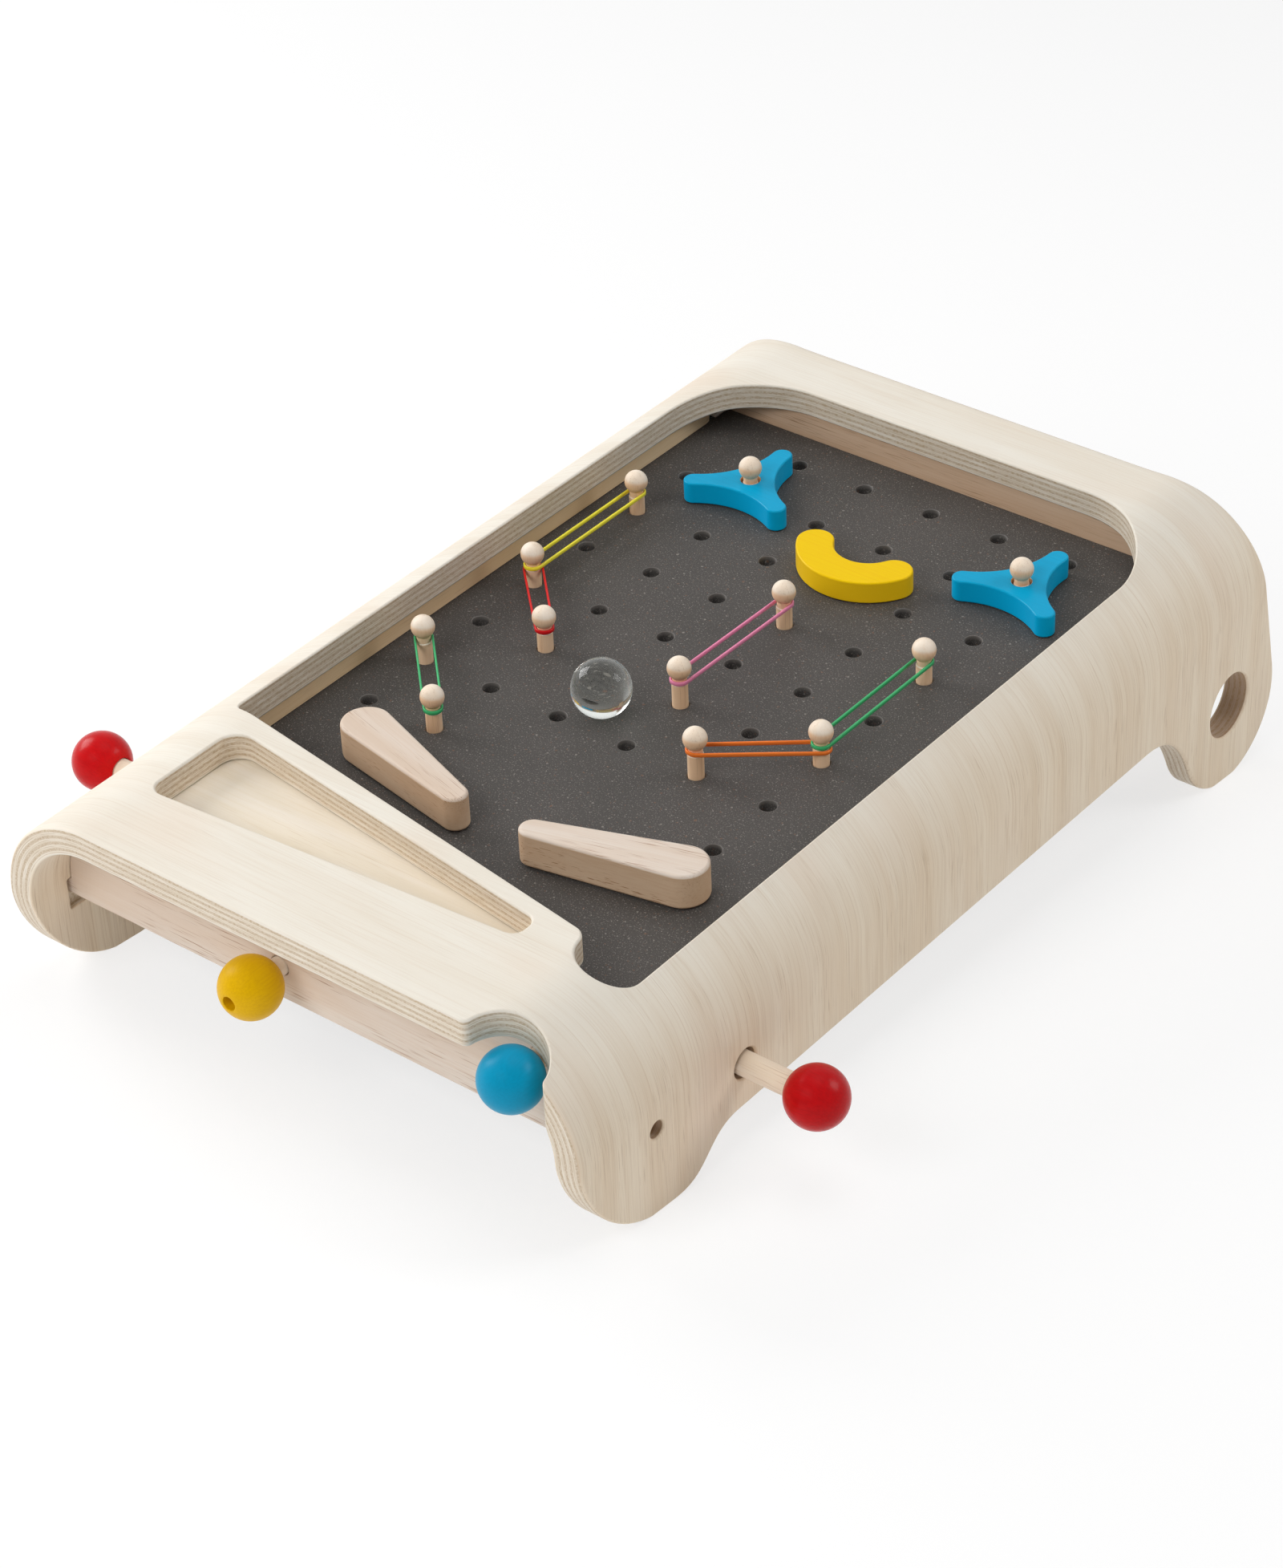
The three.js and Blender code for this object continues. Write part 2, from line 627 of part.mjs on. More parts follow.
// The front row leaves out the places that the flippers sweep, and the back row its left corner
function playBoard() {
  const front = RAIL_FACE + RAIL_THICKNESS + GAP;
  const half = innerHalfAt(0);
  const plan = roundedOutline([
    [-half, front, 0],
    [half, front, 0],
    [half, boardBack, 0],
    [-half, boardBack, 0],
  ]);
  const addHole = (x, y, radius) => {
    plan.holes.push(new THREE.Path().absarc(x, y, radius, 0, 2 * Math.PI, false));
  };
  for (let row = 1; row <= ROW_COUNT; row += 1) {
    for (let column = 1; column <= COLUMN_COUNT; column += 1) {
      const name = holeName(column, row);
      if (!NO_HOLES.includes(name)) addHole(...holePlace(name), PEG_HOLE_RADIUS);
    }
  }
  for (const sign of [-1, 1]) addHole(pivotX(sign), flipperY, PIVOT_RADIUS + GAP);
  const groove = PLUNGER_HEAD_RADIUS + GAP;
  return without(
    slab(plan, -BOARD, 0),
    rodY(groove, front - OVERRUN, PLUNGER_END + GAP, plungerX, PLUNGER_Z),
  );
}

// Pegs, bands and the pieces set on the board

// The peg's half section, measured down from the middle of its head
function pegProfile() {
  const groove = BAND_DROP + BAND_HEIGHT / 2 + GAP;
  const neckAngle = Math.asin(PEG_NECK_RADIUS / PEG_HEAD_RADIUS);
  const points = [
    new THREE.Vector2(0, -PEG_LENGTH),
    new THREE.Vector2(PEG_RADIUS - PEG_CHAMFER, -PEG_LENGTH),
    new THREE.Vector2(PEG_RADIUS, PEG_CHAMFER - PEG_LENGTH),
    new THREE.Vector2(PEG_RADIUS, PEG_NECK_RADIUS - PEG_RADIUS - groove),
    new THREE.Vector2(PEG_NECK_RADIUS, -groove),
  ];
  for (let i = 0; i < HEAD_STEP_COUNT; i += 1) {
    const angle = neckAngle + ((Math.PI - neckAngle) * i) / HEAD_STEP_COUNT;
    points.push(new THREE.Vector2(PEG_HEAD_RADIUS * Math.sin(angle), -PEG_HEAD_RADIUS * Math.cos(angle)));
  }
  points.push(new THREE.Vector2(0, PEG_HEAD_RADIUS));
  return points;
}

function peg(hole, head) {
  const lathe = new THREE.LatheGeometry(pegProfile(), SMALL_ROUND_SIDES);
  return lathe.rotateX(Math.PI / 2).translate(...holePlace(hole), head);
}

// A flat rubber loop round two pegs, tilted where their heads stand at different heights: its first place is
// the groove under the head, and its second place the shaft below that
function rubberBand({ from, to, fromPlace, toPlace }) {
  const seatOf = (hole, place) => {
    const z = PEG_HEADS[hole] - BAND_DROP - place * (BAND_HEIGHT + GAP);
    return new THREE.Vector3(...holePlace(hole), z);
  };
  const innerOf = (place) => (place > 0 ? PEG_RADIUS : PEG_NECK_RADIUS) + GAP;
  const start = seatOf(from, fromPlace);
  const end = seatOf(to, toPlace);
  const along = end.clone().sub(start);
  const startInner = innerOf(fromPlace);
  const endInner = innerOf(toPlace);
  const loop = taperedOutline(startInner + BAND_THICKNESS, endInner + BAND_THICKNESS, along.length());
  const inside = taperedOutline(startInner, endInner, along.length());
  loop.holes.push(new THREE.Path(inside.getPoints(DIVISIONS)));
  const geometry = slab(loop, -BAND_HEIGHT / 2, BAND_HEIGHT / 2, BAND_ROUND);
  const forward = along.clone().normalize();
  const side = new THREE.Vector3(0, 0, 1).cross(forward).normalize();
  const up = forward.clone().cross(side);
  const pose = new THREE.Matrix4().makeBasis(forward, side, up).setPosition(start);
  return geometry.applyMatrix4(pose);
}

// Three arms with round tips; the hollows between them are arcs that touch both tips
function spinner({ hole, angle }) {
  const thin = SPINNER_WAIST - SPINNER_TIP;
  const hollowAt = (SPINNER_REACH ** 2 - thin ** 2) / (SPINNER_REACH - 2 * thin);
  const hollowRadius = hollowAt - SPINNER_WAIST;
  const sector = (2 * Math.PI) / ARM_COUNT;
  const shape = new THREE.Shape();
  for (let i = 0; i < ARM_COUNT; i += 1) {
    const arm = rad(angle) + i * sector;
    const tip = new THREE.Vector2(SPINNER_REACH, 0).rotateAround(new THREE.Vector2(), arm);
    const hollow = new THREE.Vector2(hollowAt, 0).rotateAround(new THREE.Vector2(), arm + sector / 2);
    const hollowBefore = new THREE.Vector2(hollowAt, 0).rotateAround(new THREE.Vector2(), arm - sector / 2);
    const next = new THREE.Vector2(SPINNER_REACH, 0).rotateAround(new THREE.Vector2(), arm + sector);
    const entry = hollowBefore.clone().sub(tip).angle();
    const exit = hollow.clone().sub(tip).angle();
    shape.absarc(tip.x, tip.y, SPINNER_TIP, entry, exit, false);
    shape.absarc(hollow.x, hollow.y, hollowRadius, tip.sub(hollow).angle(), next.sub(hollow).angle(), true);
  }
  shape.holes.push(new THREE.Path().absarc(0, 0, SPINNER_HOLE, 0, 2 * Math.PI, false));
  return slab(shape, GAP, GAP + TOY_THICKNESS, TOY_ARRIS).translate(...holePlace(hole), 0);
}

// The fixed arc, held by a pin in one of the board's holes
const [pinX, pinY] = holePlace(ARC_PIN_HOLE);

function arcBlock() {
  const outer = ARC_RADIUS + ARC_HALF_WIDTH;
  const inner = ARC_RADIUS - ARC_HALF_WIDTH;
  const start = rad(ARC_START);
  const end = rad(ARC_END);
  const endOf = (angle) => [ARC_RADIUS * Math.cos(angle), ARC_RADIUS * Math.sin(angle)];
  const shape = new THREE.Shape();
  shape.absarc(0, 0, outer, start, end, false);
  shape.absarc(...endOf(end), ARC_HALF_WIDTH, end, end + Math.PI, false);
  shape.absarc(0, 0, inner, end, start, true);
  shape.absarc(...endOf(start), ARC_HALF_WIDTH, start + Math.PI, start + 2 * Math.PI, false);
  const block = slab(shape, GAP, GAP + TOY_THICKNESS, TOY_ARRIS);
  block.translate(pinX + ARC_ASIDE, pinY + ARC_BEHIND, 0);
  return without(block, rodZ(PEG_RADIUS + GAP, -OVERRUN, ARC_PIN_SEAT + GAP, pinX, pinY, SMALL_ROUND_SIDES));
}

function arcPin() {
  return rodZ(PEG_RADIUS, -ARC_PIN_DEPTH, ARC_PIN_SEAT, pinX, pinY, SMALL_ROUND_SIDES);
}

// Flippers

const leftPivotX = LEFT_PIVOT_SPACE - openingLeft;
const rightPivotX = openingRight - RIGHT_PIVOT_SPACE;
const pivotX = (sign) => (sign < 0 ? leftPivotX : rightPivotX);
const flipperY = LAST_ROW_Y - PIVOT_BELOW_ROW;
const tipReach = (rightPivotX - leftPivotX - DRAIN) / 2 - FLIPPER_TIP;
const flipperLength = tipReach / Math.cos(rad(FLIPPER_DROOP));
const rodY0 = flipperY - CRANK_LENGTH * Math.cos(rad(CRANK_SWING));
const noseX = (sign) => pivotX(sign) + sign * CRANK_LENGTH * Math.sin(rad(CRANK_SWING));

function flipper(sign) {
  const outline = taperedOutline(FLIPPER_ROOT, FLIPPER_TIP, flipperLength);
  const top = FLIPPER_LIFT + FLIPPER_THICKNESS;
  const turn = sign < 0 ? -rad(FLIPPER_DROOP) : Math.PI + rad(FLIPPER_DROOP);
  const body = slab(outline, FLIPPER_LIFT, top, FLIPPER_ARRIS);
  body.rotateZ(turn).translate(pivotX(sign), flipperY, 0);
  const bore = PIVOT_RADIUS + GAP;
  return without(body, rodZ(bore, -OVERRUN, PIVOT_SEAT + GAP, pivotX(sign), flipperY));
}

const crankTop = CRANK_THICKNESS / 2 - ROD_DEPTH;

function pivotPin(sign) {
  return rodZ(PIVOT_RADIUS, crankTop - CRANK_THICKNESS, PIVOT_SEAT, pivotX(sign), flipperY);
}

// A lever with a round hub, a straight arm and a round nose that the push rod bears on
function crank(sign) {
  const hubAngle = Math.asin(CRANK_ARM / CRANK_HUB);
  const noseAngle = Math.asin(CRANK_ARM / CRANK_NOSE);
  const outline = new THREE.Shape();
  outline.absarc(0, 0, CRANK_HUB, hubAngle, -hubAngle, false);
  outline.absarc(CRANK_LENGTH, 0, CRANK_NOSE, noseAngle - Math.PI, Math.PI - noseAngle, false);
  outline.holes.push(new THREE.Path().absarc(0, 0, PIVOT_RADIUS + GAP, 0, 2 * Math.PI, false));
  const body = slab(outline, crankTop - CRANK_THICKNESS, crankTop);
  return body.rotateZ(sign * rad(CRANK_SWING) - Math.PI / 2).translate(pivotX(sign), flipperY, 0);
}

// Rods and knobs

const knobX = (sign) => sign * (halfWidth + (sign < 0 ? LEFT_KNOB_OUT : RIGHT_KNOB_OUT));
const spanX = (sign, from, to) => [sign * from, sign * to].sort((a, b) => a - b);

function pushRod(sign) {
  const inner = sign * noseX(sign) + CRANK_NOSE + GAP;
  const outer = sign * knobX(sign) - KNOB_RADIUS + KNOB_SEAT;
  return rodX(ROD_RADIUS, ...spanX(sign, inner, outer), rodY0, -ROD_DEPTH);
}

function rodCollar(sign) {
  const outer = cleatFace - GAP;
  const reach = outer + OVERRUN;
  const inner = outer - COLLAR_THICKNESS;
  return without(
    rodX(COLLAR_RADIUS, ...spanX(sign, inner, outer), rodY0, -ROD_DEPTH),
    rodX(ROD_RADIUS + GAP, ...spanX(sign, inner - OVERRUN, reach), rodY0, -ROD_DEPTH),
  );
}

function rodGuide(sign) {
  const [left, right] = spanX(sign, cleatFace, cleatFace + GUIDE_LENGTH);
  const top = -BOARD - 2 * GAP - CLEAT_HEIGHT;
  const block = box([left, rodY0 - GUIDE_WIDTH / 2, -GUIDE_DEPTH], [right, rodY0 + GUIDE_WIDTH / 2, top]);
  return without(block, rodX(ROD_RADIUS + GAP, left - OVERRUN, right + OVERRUN, rodY0, -ROD_DEPTH));
}

function ball(radius) {
  return new THREE.SphereGeometry(radius, ROUND_SIDES, SMALL_ROUND_SIDES);
}

function pushKnob(sign) {
  const sphere = ball(KNOB_RADIUS).rotateZ(Math.PI / 2).translate(knobX(sign), rodY0, -ROD_DEPTH);
  const from = sign * knobX(sign) - KNOB_RADIUS - OVERRUN;
  const to = sign * knobX(sign) - KNOB_RADIUS + KNOB_SEAT + GAP;
  return without(sphere, rodX(ROD_RADIUS + GAP, ...spanX(sign, from, to), rodY0, -ROD_DEPTH));
}

// A knob in front of the rail, bored from behind for its dowel
function frontKnob(x, z, ...moreCuts) {
  const back = KNOB_Y + KNOB_RADIUS;
  const bore = rodY(DOWEL_RADIUS + GAP, back - KNOB_SEAT - GAP, back + OVERRUN, x, z);
  return without(ball(KNOB_RADIUS).translate(x, KNOB_Y, z), bore, ...moreCuts);
}

const dowelStart = KNOB_Y + KNOB_RADIUS - KNOB_SEAT;

function collarY(radius, from, to, x, z) {
  const bore = rodY(DOWEL_RADIUS + GAP, from - OVERRUN, to + OVERRUN, x, z);
  return without(rodY(radius, from, to, x, z), bore);
}

function plungerHead() {
  return collarY(PLUNGER_HEAD_RADIUS, PLUNGER_END - PLUNGER_HEAD, PLUNGER_END, plungerX, PLUNGER_Z);
}

function pullCollar() {
  return collarY(PULL_COLLAR_RADIUS, PULL_END - COLLAR_THICKNESS, PULL_END, pullX, -PULL_DEPTH);
}

// The pull knob is also bored from the front, as a ball turned on a pin is
function pullKnob() {
  const bore = rodY(PULL_BORE_RADIUS, KNOB_Y - KNOB_RADIUS - OVERRUN, KNOB_Y + OVERRUN, pullX, -PULL_DEPTH);
  return frontKnob(pullX, -PULL_DEPTH, bore);
}

function marble() {
  const [x, y] = holePlace(MARBLE_HOLE);
  return ball(MARBLE_RADIUS).translate(x + MARBLE_ASIDE, y + MARBLE_BEHIND, MARBLE_RADIUS + GAP);
}

// The toy, in the order it is put together
const board = new THREE.Group();

function add(name, geometry, surface) {
  const mesh = new THREE.Mesh(geometry, surface);
  mesh.name = name;
  board.add(mesh);
}

add("plywood_shell", plywoodShell(), VENEER);
add("tray_floor", trayFloor(), TRAY_WOOD);
add("front_rail", frontRail(), RUBBERWOOD);
add("back_rail", backRail(), RUBBERWOOD);
add("play_board", playBoard(), BOARD_GREY);
add("left_lining", liningPiece(STRIP_START, stripEnd, STRIP_ROUND), DOWEL_WOOD);
add("left_corner_block", liningPiece(stripEnd + GAP, boardBack - GAP, 0), RUBBERWOOD);
for (const [side, sign] of [["left", -1], ["right", 1]]) {
  add("board_cleat_" + side, cleat(sign), DOWEL_WOOD);
  add("rod_guide_" + side, rodGuide(sign), RUBBERWOOD);
  add("flipper_" + side, flipper(sign), RUBBERWOOD);
  add("flipper_pivot_" + side, pivotPin(sign), DOWEL_WOOD);
  add("flipper_crank_" + side, crank(sign), RUBBERWOOD);
  add("push_rod_" + side, pushRod(sign), DOWEL_WOOD);
  add("rod_collar_" + side, rodCollar(sign), DOWEL_WOOD);
  add("push_knob_" + side, pushKnob(sign), RED);
}
add("plunger_rod", rodY(DOWEL_RADIUS, dowelStart, PLUNGER_END, plungerX, PLUNGER_Z), DOWEL_WOOD);
add("plunger_head", plungerHead(), DOWEL_WOOD);
add("plunger_knob", frontKnob(plungerX, PLUNGER_Z), BLUE);
add("pull_rod", rodY(DOWEL_RADIUS, dowelStart, PULL_END, pullX, -PULL_DEPTH), DOWEL_WOOD);
add("pull_collar", pullCollar(), DOWEL_WOOD);
add("pull_knob", pullKnob(), AMBER);
for (const [hole, head] of Object.entries(PEG_HEADS)) add("peg_" + hole, peg(hole, head), DOWEL_WOOD);
for (const band of BANDS) add(band.name, rubberBand(band), material(band.colour, 0.6));
for (const values of SPINNERS) add(values.name, spinner(values), BLUE);
add("arc_block", arcBlock(), YELLOW);
add("arc_pin", arcPin(), DOWEL_WOOD);
add("marble", marble(), GLASS);

// The board frame is tilted and stood on the table, its box centred on the origin
board.rotation.x = rad(BOARD_TILT);
board.updateMatrixWorld(true);
const bounds = new THREE.Box3().setFromObject(board, true);
const middle = bounds.getCenter(new THREE.Vector3());
board.position.set(-middle.x, -middle.y, -bounds.min.z);

const toy = new THREE.Group();
toy.add(board);

export default toy;
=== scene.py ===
import json
from math import acos, asin, atan2, cos, hypot, pi, radians, sin, sqrt, tan

import bpy
import numpy as np
from mathutils import Matrix, Quaternion, Vector
from mathutils.geometry import delaunay_2d_cdt


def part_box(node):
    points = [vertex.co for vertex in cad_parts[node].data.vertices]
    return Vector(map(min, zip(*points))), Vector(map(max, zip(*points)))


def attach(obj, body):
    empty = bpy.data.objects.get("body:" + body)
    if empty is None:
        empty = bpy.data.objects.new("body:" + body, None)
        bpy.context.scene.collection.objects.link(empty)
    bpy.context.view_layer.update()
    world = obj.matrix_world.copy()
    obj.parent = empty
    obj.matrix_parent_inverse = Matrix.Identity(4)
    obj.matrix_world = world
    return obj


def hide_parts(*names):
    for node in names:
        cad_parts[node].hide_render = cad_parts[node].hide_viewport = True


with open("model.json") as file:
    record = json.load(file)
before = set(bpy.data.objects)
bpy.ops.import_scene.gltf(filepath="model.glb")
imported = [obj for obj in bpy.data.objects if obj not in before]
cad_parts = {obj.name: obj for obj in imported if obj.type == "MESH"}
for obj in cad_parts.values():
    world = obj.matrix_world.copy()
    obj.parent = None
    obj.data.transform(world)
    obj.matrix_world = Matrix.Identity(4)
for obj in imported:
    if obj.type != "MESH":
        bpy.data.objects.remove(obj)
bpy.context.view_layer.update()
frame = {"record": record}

# The board's own frame
# The play board rises towards the back. Sizes are millimetres from its face: X right, Y to the back, Z up.
# The marble rests at a known place on it, and so gives where that face lies.
MM = 0.001
BOARD_TILT = radians(5.4)
MARBLE_RADIUS = 12.5
MARBLE_AT = Vector((-8.1, 202.6, 12.8))
tilt = Matrix.Rotation(BOARD_TILT, 3, "X")
board_origin = sum(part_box("marble"), Vector()) / 2 - tilt @ MARBLE_AT * MM
board_matrix = Matrix.Translation(board_origin) @ tilt.to_4x4() @ Matrix.Scale(MM, 4)

# Camera
# It stands high at the right front corner of the toy and looks down at the middle of the board.
CAMERA_AT = Vector((841.9, -795.3, 909.8))
CAMERA_AIM = Vector((34.07, 174.2, 0))
CAMERA_ROLL = radians(1.43)
CAMERA_LENS = 91.53
CAMERA_SENSOR = 36


def put(name, data):
    """A new object in the scene."""
    thing = bpy.data.objects.new(name, data)
    bpy.context.scene.collection.objects.link(thing)
    return thing


camera = put("camera", bpy.data.cameras.new("camera"))
camera.data.sensor_width = CAMERA_SENSOR
camera.data.lens = CAMERA_LENS
sight = tilt @ (CAMERA_AIM - CAMERA_AT)
camera.rotation_mode = "QUATERNION"
camera.rotation_quaternion = sight.to_track_quat("-Z", "Y") @ Quaternion((0, 0, 1), CAMERA_ROLL)
camera.location = board_origin + tilt @ CAMERA_AT * MM
bpy.context.scene.camera = camera
bpy.context.scene.view_settings.view_transform = "Standard"

# Floor and light
# A white table top that runs out of sight, lit from below a little, so that it brightens the undersides. A large
# soft lamp stands at the left, and weaker ones at the front, at the right behind and overhead.
FLOOR_REACH = 6.0
FLOOR_WHITE = 0.8
FLOOR_UNDERLIGHT = 0.22
FLOOR_SHADE = 0.3
FLOOR_GLOW = 0.72
SURROUND = 0.155
LAMP_AIM = Vector((0, 0, 0.05))
# Name, place, size and power of each lamp, and whether gloss and glass show it
LAMPS = (
    ("left_lamp", (-1.7, -0.2, 1.0), (1.0, 1.0), 21.8, True),
    ("front_lamp", (-0.1, -1.6, 1.2), (1.2, 0.8), 15.5, False),
    ("back_lamp", (1.3, 1.0, 1.4), (0.9, 0.9), 11.5, True),
    ("top_lamp", (0, 0.1, 2.0), (1.2, 1.2), 8, False),
)


class Flow:
    """What a node hands on. A sum with it becomes a Math node of its tree."""

    def __init__(self, socket):
        self.socket, self.tree = socket, socket.id_data

    def __add__(self, other):
        return calc("ADD", self, other)

    def __sub__(self, other):
        return calc("SUBTRACT", self, other)

    def __rsub__(self, other):
        return calc("SUBTRACT", other, self)

    def __mul__(self, other):
        return calc("MULTIPLY", self, other)

    def __truediv__(self, other):
        return calc("DIVIDE", self, other)

    def __abs__(self):
        return calc("ABSOLUTE", self)


def set_inputs(node, inputs):
    """Gives inputs their values, or joins them to what flows."""
    for key, value in inputs.items():
        if isinstance(value, Flow):
            value.tree.links.new(value.socket, node.inputs[key])
        else:
            node.inputs[key].default_value = value


def add(tree, kind, inputs=None, out=0, **settings):
    """Adds a node with its settings and inputs, and gives one of its outputs, or all by name where out is None."""
    node = tree.nodes.new(kind)
    for name, value in settings.items():
        setattr(node, name, value)
    set_inputs(node, inputs or {})
    if out is None:
        return {socket.name: Flow(socket) for socket in node.outputs}
    return Flow(node.outputs[out]) if node.outputs else None


def calc(operation, *values, kind="ShaderNodeMath", out=0):
    tree = next(value.tree for value in values if isinstance(value, Flow))
    return add(tree, kind, dict(enumerate(values)), out, operation=operation)


def lit_white(tree, white, glow):
    """A white surface that glows a little."""
    surface = add(tree, "ShaderNodeBsdfDiffuse", {"Color": (white, white, white, 1)})
    light = add(tree, "ShaderNodeEmission", {"Strength": glow})
    return add(tree, "ShaderNodeAddShader", {0: surface, 1: light})


def show_by_ray(tree, unseen, seen, output):
    """Ends a tree with one shader that only sends light on, and another for what the camera, gloss and glass see."""
    ray = add(tree, "ShaderNodeLightPath", out=None)
    looked_at = calc("MAXIMUM", ray["Is Camera Ray"], ray["Is Glossy Ray"])
    looked_at = calc("MAXIMUM", looked_at, ray["Is Transmission Ray"])
    add(tree, output, {"Surface": add(tree, "ShaderNodeMixShader", {0: looked_at, 1: unseen, 2: seen})})


def empty_tree(owner):
    owner.use_nodes = True
    owner.node_tree.nodes.clear()
    return owner.node_tree


white_table = bpy.data.materials.new("white_table")
tree = empty_tree(white_table)
unseen_table, seen_table = lit_white(tree, FLOOR_WHITE, FLOOR_UNDERLIGHT), lit_white(tree, FLOOR_SHADE, FLOOR_GLOW)
show_by_ray(tree, unseen_table, seen_table, "ShaderNodeOutputMaterial")
floor = put("table_top", bpy.data.meshes.new("table_top"))
floor_corners = [(x * FLOOR_REACH, y * FLOOR_REACH, 0) for x, y in ((-1, -1), (1, -1), (1, 1), (-1, 1))]
floor.data.from_pydata(floor_corners, [], [(0, 1, 2, 3)])
floor.data.materials.append(white_table)

world = bpy.data.worlds.new("studio")
tree = empty_tree(world)
surround, backdrop = (
    add(tree, "ShaderNodeBackground", {"Color": (1, 1, 1, 1), "Strength": strength}) for strength in (SURROUND, 1)
)
show_by_ray(tree, surround, backdrop, "ShaderNodeOutputWorld")
bpy.context.scene.world = world

for name, place, size, power, mirrored in LAMPS:
    lamp = put(name, bpy.data.lights.new(name, "AREA"))
    lamp.data.shape = "RECTANGLE"
    lamp.data.size, lamp.data.size_y = size
    lamp.data.energy = power
    lamp.location = place
    lamp.visible_glossy = lamp.visible_transmission = mirrored
    lamp.rotation_euler = (LAMP_AIM - lamp.location).to_track_quat("-Z", "Y").to_euler()

# Plywood shell
# One sheet of 12 mm plywood, bent down on both sides over a former. The field opening, the marble tray, the finger
# notch, the holes and the outline of the feet are routed after bending, and every arris is rounded by hand.
SHELL_WIDTH = 286
SHELL_LENGTH = 455
SHELL_TOP = 24
PLY = 12
BEND_RADIUS = 47
BACK_ARRIS = 6
BACK_LEAN = radians(11.9)
EDGE_ARRIS = 1.7
CUT_ARRIS = 1.1
INNER_ARRIS = 0.8
EDGE_DEPTH = 21
TOE_Y = 50
TOE_DEPTH = 71.5
TOE_FLAT = 6
HEEL_LENGTH = 35
SKIRT_DEPTH = 55.5
SKIRT_END_Y = 372
SKIRT_END_DEPTH = 57.5
REAR_FOOT_Y = 440
REAR_FOOT_DEPTH = 74
REAR_ROUND = 34.8
REAR_FOOT_JOIN = radians(203)
TOE_EASE = 0.36
TOE_ROUND = 0.62
HEEL_EASE = 0.5
REAR_EASE = 0.61
REAR_PULL = 0.44
ROD_Y = 96.2
ROD_DEPTH = 35.8
LEFT, RIGHT = -1, 1
# Y, depth, radius and point spacing of each side hole: the legs' round holes, the rods' holes and a small one
SIDE_HOLES = (
    (438.2, 68.9, 15, 1.5, (LEFT, RIGHT)),
    (ROD_Y, ROD_DEPTH, 6.5, 1.0, (LEFT, RIGHT)),
    (43.6, 31.3, 3.75, 0.7, (RIGHT,)),
)
OPENING_LEFT = 109.5
OPENING_RIGHT = 122.5
OPENING_BACK = 421.7
LEFT_ROUND = 46
RIGHT_ROUND = 44
OPENING_CORNER = 4
FRONT_EDGE_Y = 81
FRONT_SLOPE = radians(9.43)
LOBE_Y = 62
LOBE_RADIUS = 13
LOBE_CORNER = 7
TRAY_CORNERS = ((-97.2, 37, 6), (76, 49, 5), (76, 60.4, 5), (-97.2, 86.5, 9))
NOTCH_X = 110
NOTCH_RADIUS = 16.6
NOTCH_CORNER = 3
POCKET_CUT = 3
POCKET_FRONT = 19
POCKET_BACK = 33.3
POCKET_TOP = 23.7
POCKET_DEPTH = 38.5
QUARTER, HALF, TURN = pi / 2, pi, 2 * pi
TINY = 1e-6
ACROSS = (1, 0, 0)
half_width = SHELL_WIDTH / 2
bend_start = half_width - BEND_RADIUS
bend_z = SHELL_TOP - BEND_RADIUS
bend_end = bend_start + BEND_RADIUS * QUARTER
record = frame["record"]
body_of = {node: body for body, nodes in record["behaviour"]["bodies"].items() for node in nodes}


def stand_for(nodes, piece):
    """The piece moves with the body of these solids and is shown in their place."""
    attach(piece, body_of[nodes[0]])
    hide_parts(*nodes)


def arc(centre, radius, start, end, spacing=3.0, steps=None):
    """Points on a round from one angle to another."""
    angles = np.linspace(start, end, (steps or max(int(abs(end - start) * radius / spacing), 6)) + 1)
    return centre + radius * np.stack([np.cos(angles), np.sin(angles)], 1)


def line(start, end, spacing=3.0):
    """Evenly spaced points from one place to another."""
    start, end = np.asarray(start, float), np.asarray(end, float)
    count = max(int(np.linalg.norm(end - start) / spacing), 1)
    return start + (end - start) * np.linspace(0, 1, count + 1)[:, None]


def ease(start, first, second, end, count=24):
    """Points on a Bezier curve."""
    t = np.linspace(0, 1, count + 1)[:, None]
    shares = (1 - t) ** 3, 3 * (1 - t) ** 2 * t, 3 * (1 - t) * t ** 2, t ** 3
    return sum(share * np.array(point, float) for share, point in zip(shares, (start, first, second, end)))


def joined(parts, spacing=3.0):
    """The parts of a path, with lines between them. A point that two parts share is kept once."""
    points = np.asarray(parts[0], float)
    for part in parts[1:]:
        run = line(points[-1], part[0], spacing)
        shared = int(np.linalg.norm(run[-1] - run[0]) < TINY)
        points = np.concatenate([points, run[1:-1], np.asarray(part, float)[shared:]])
    return points


def closed_round(parts, spacing=3.0):
    """A closed outline of these parts, with the material on its left where it runs anticlockwise."""
    return joined([*parts, parts[0][:1]], spacing)[:-1]


def rounded_corner(before, corner, after, radius, steps):
    """The round that eases one corner of an outline."""
    before, corner, after = Vector(before), Vector(corner), Vector(after)
    back, ahead = (before - corner).normalized(), (after - corner).normalized()
    half_angle = back.angle(ahead) / 2
    centre = corner + (back + ahead).normalized() * radius / sin(half_angle)
    ends = [corner + way * radius / tan(half_angle) - centre for way in (back, ahead)]
    first, last = (atan2(end.y, end.x) for end in ends)
    return arc(tuple(centre), radius, first, first + (last - first + HALF) % TURN - HALF, steps=steps)


def rounded_path(corners, spacing=3.0, steps=6):
    """A path through corners (x, y, radius), rounded at each corner between its ends."""
    bends = [
        rounded_corner(before[:2], corner[:2], after[:2], corner[2], steps)
        for before, corner, after in zip(corners, corners[1:], corners[2:])
    ]
    return joined([[corners[0][:2]], *bends, [corners[-1][:2]]], spacing)


def rounded_outline(corners, spacing=3.0, steps=6):
    """A closed outline through corners (x, y, radius)."""
    middle = tuple((np.add(corners[0][:2], corners[-1][:2]) / 2).tolist())
    return rounded_path([middle, *corners, middle], spacing, steps)[:-1]


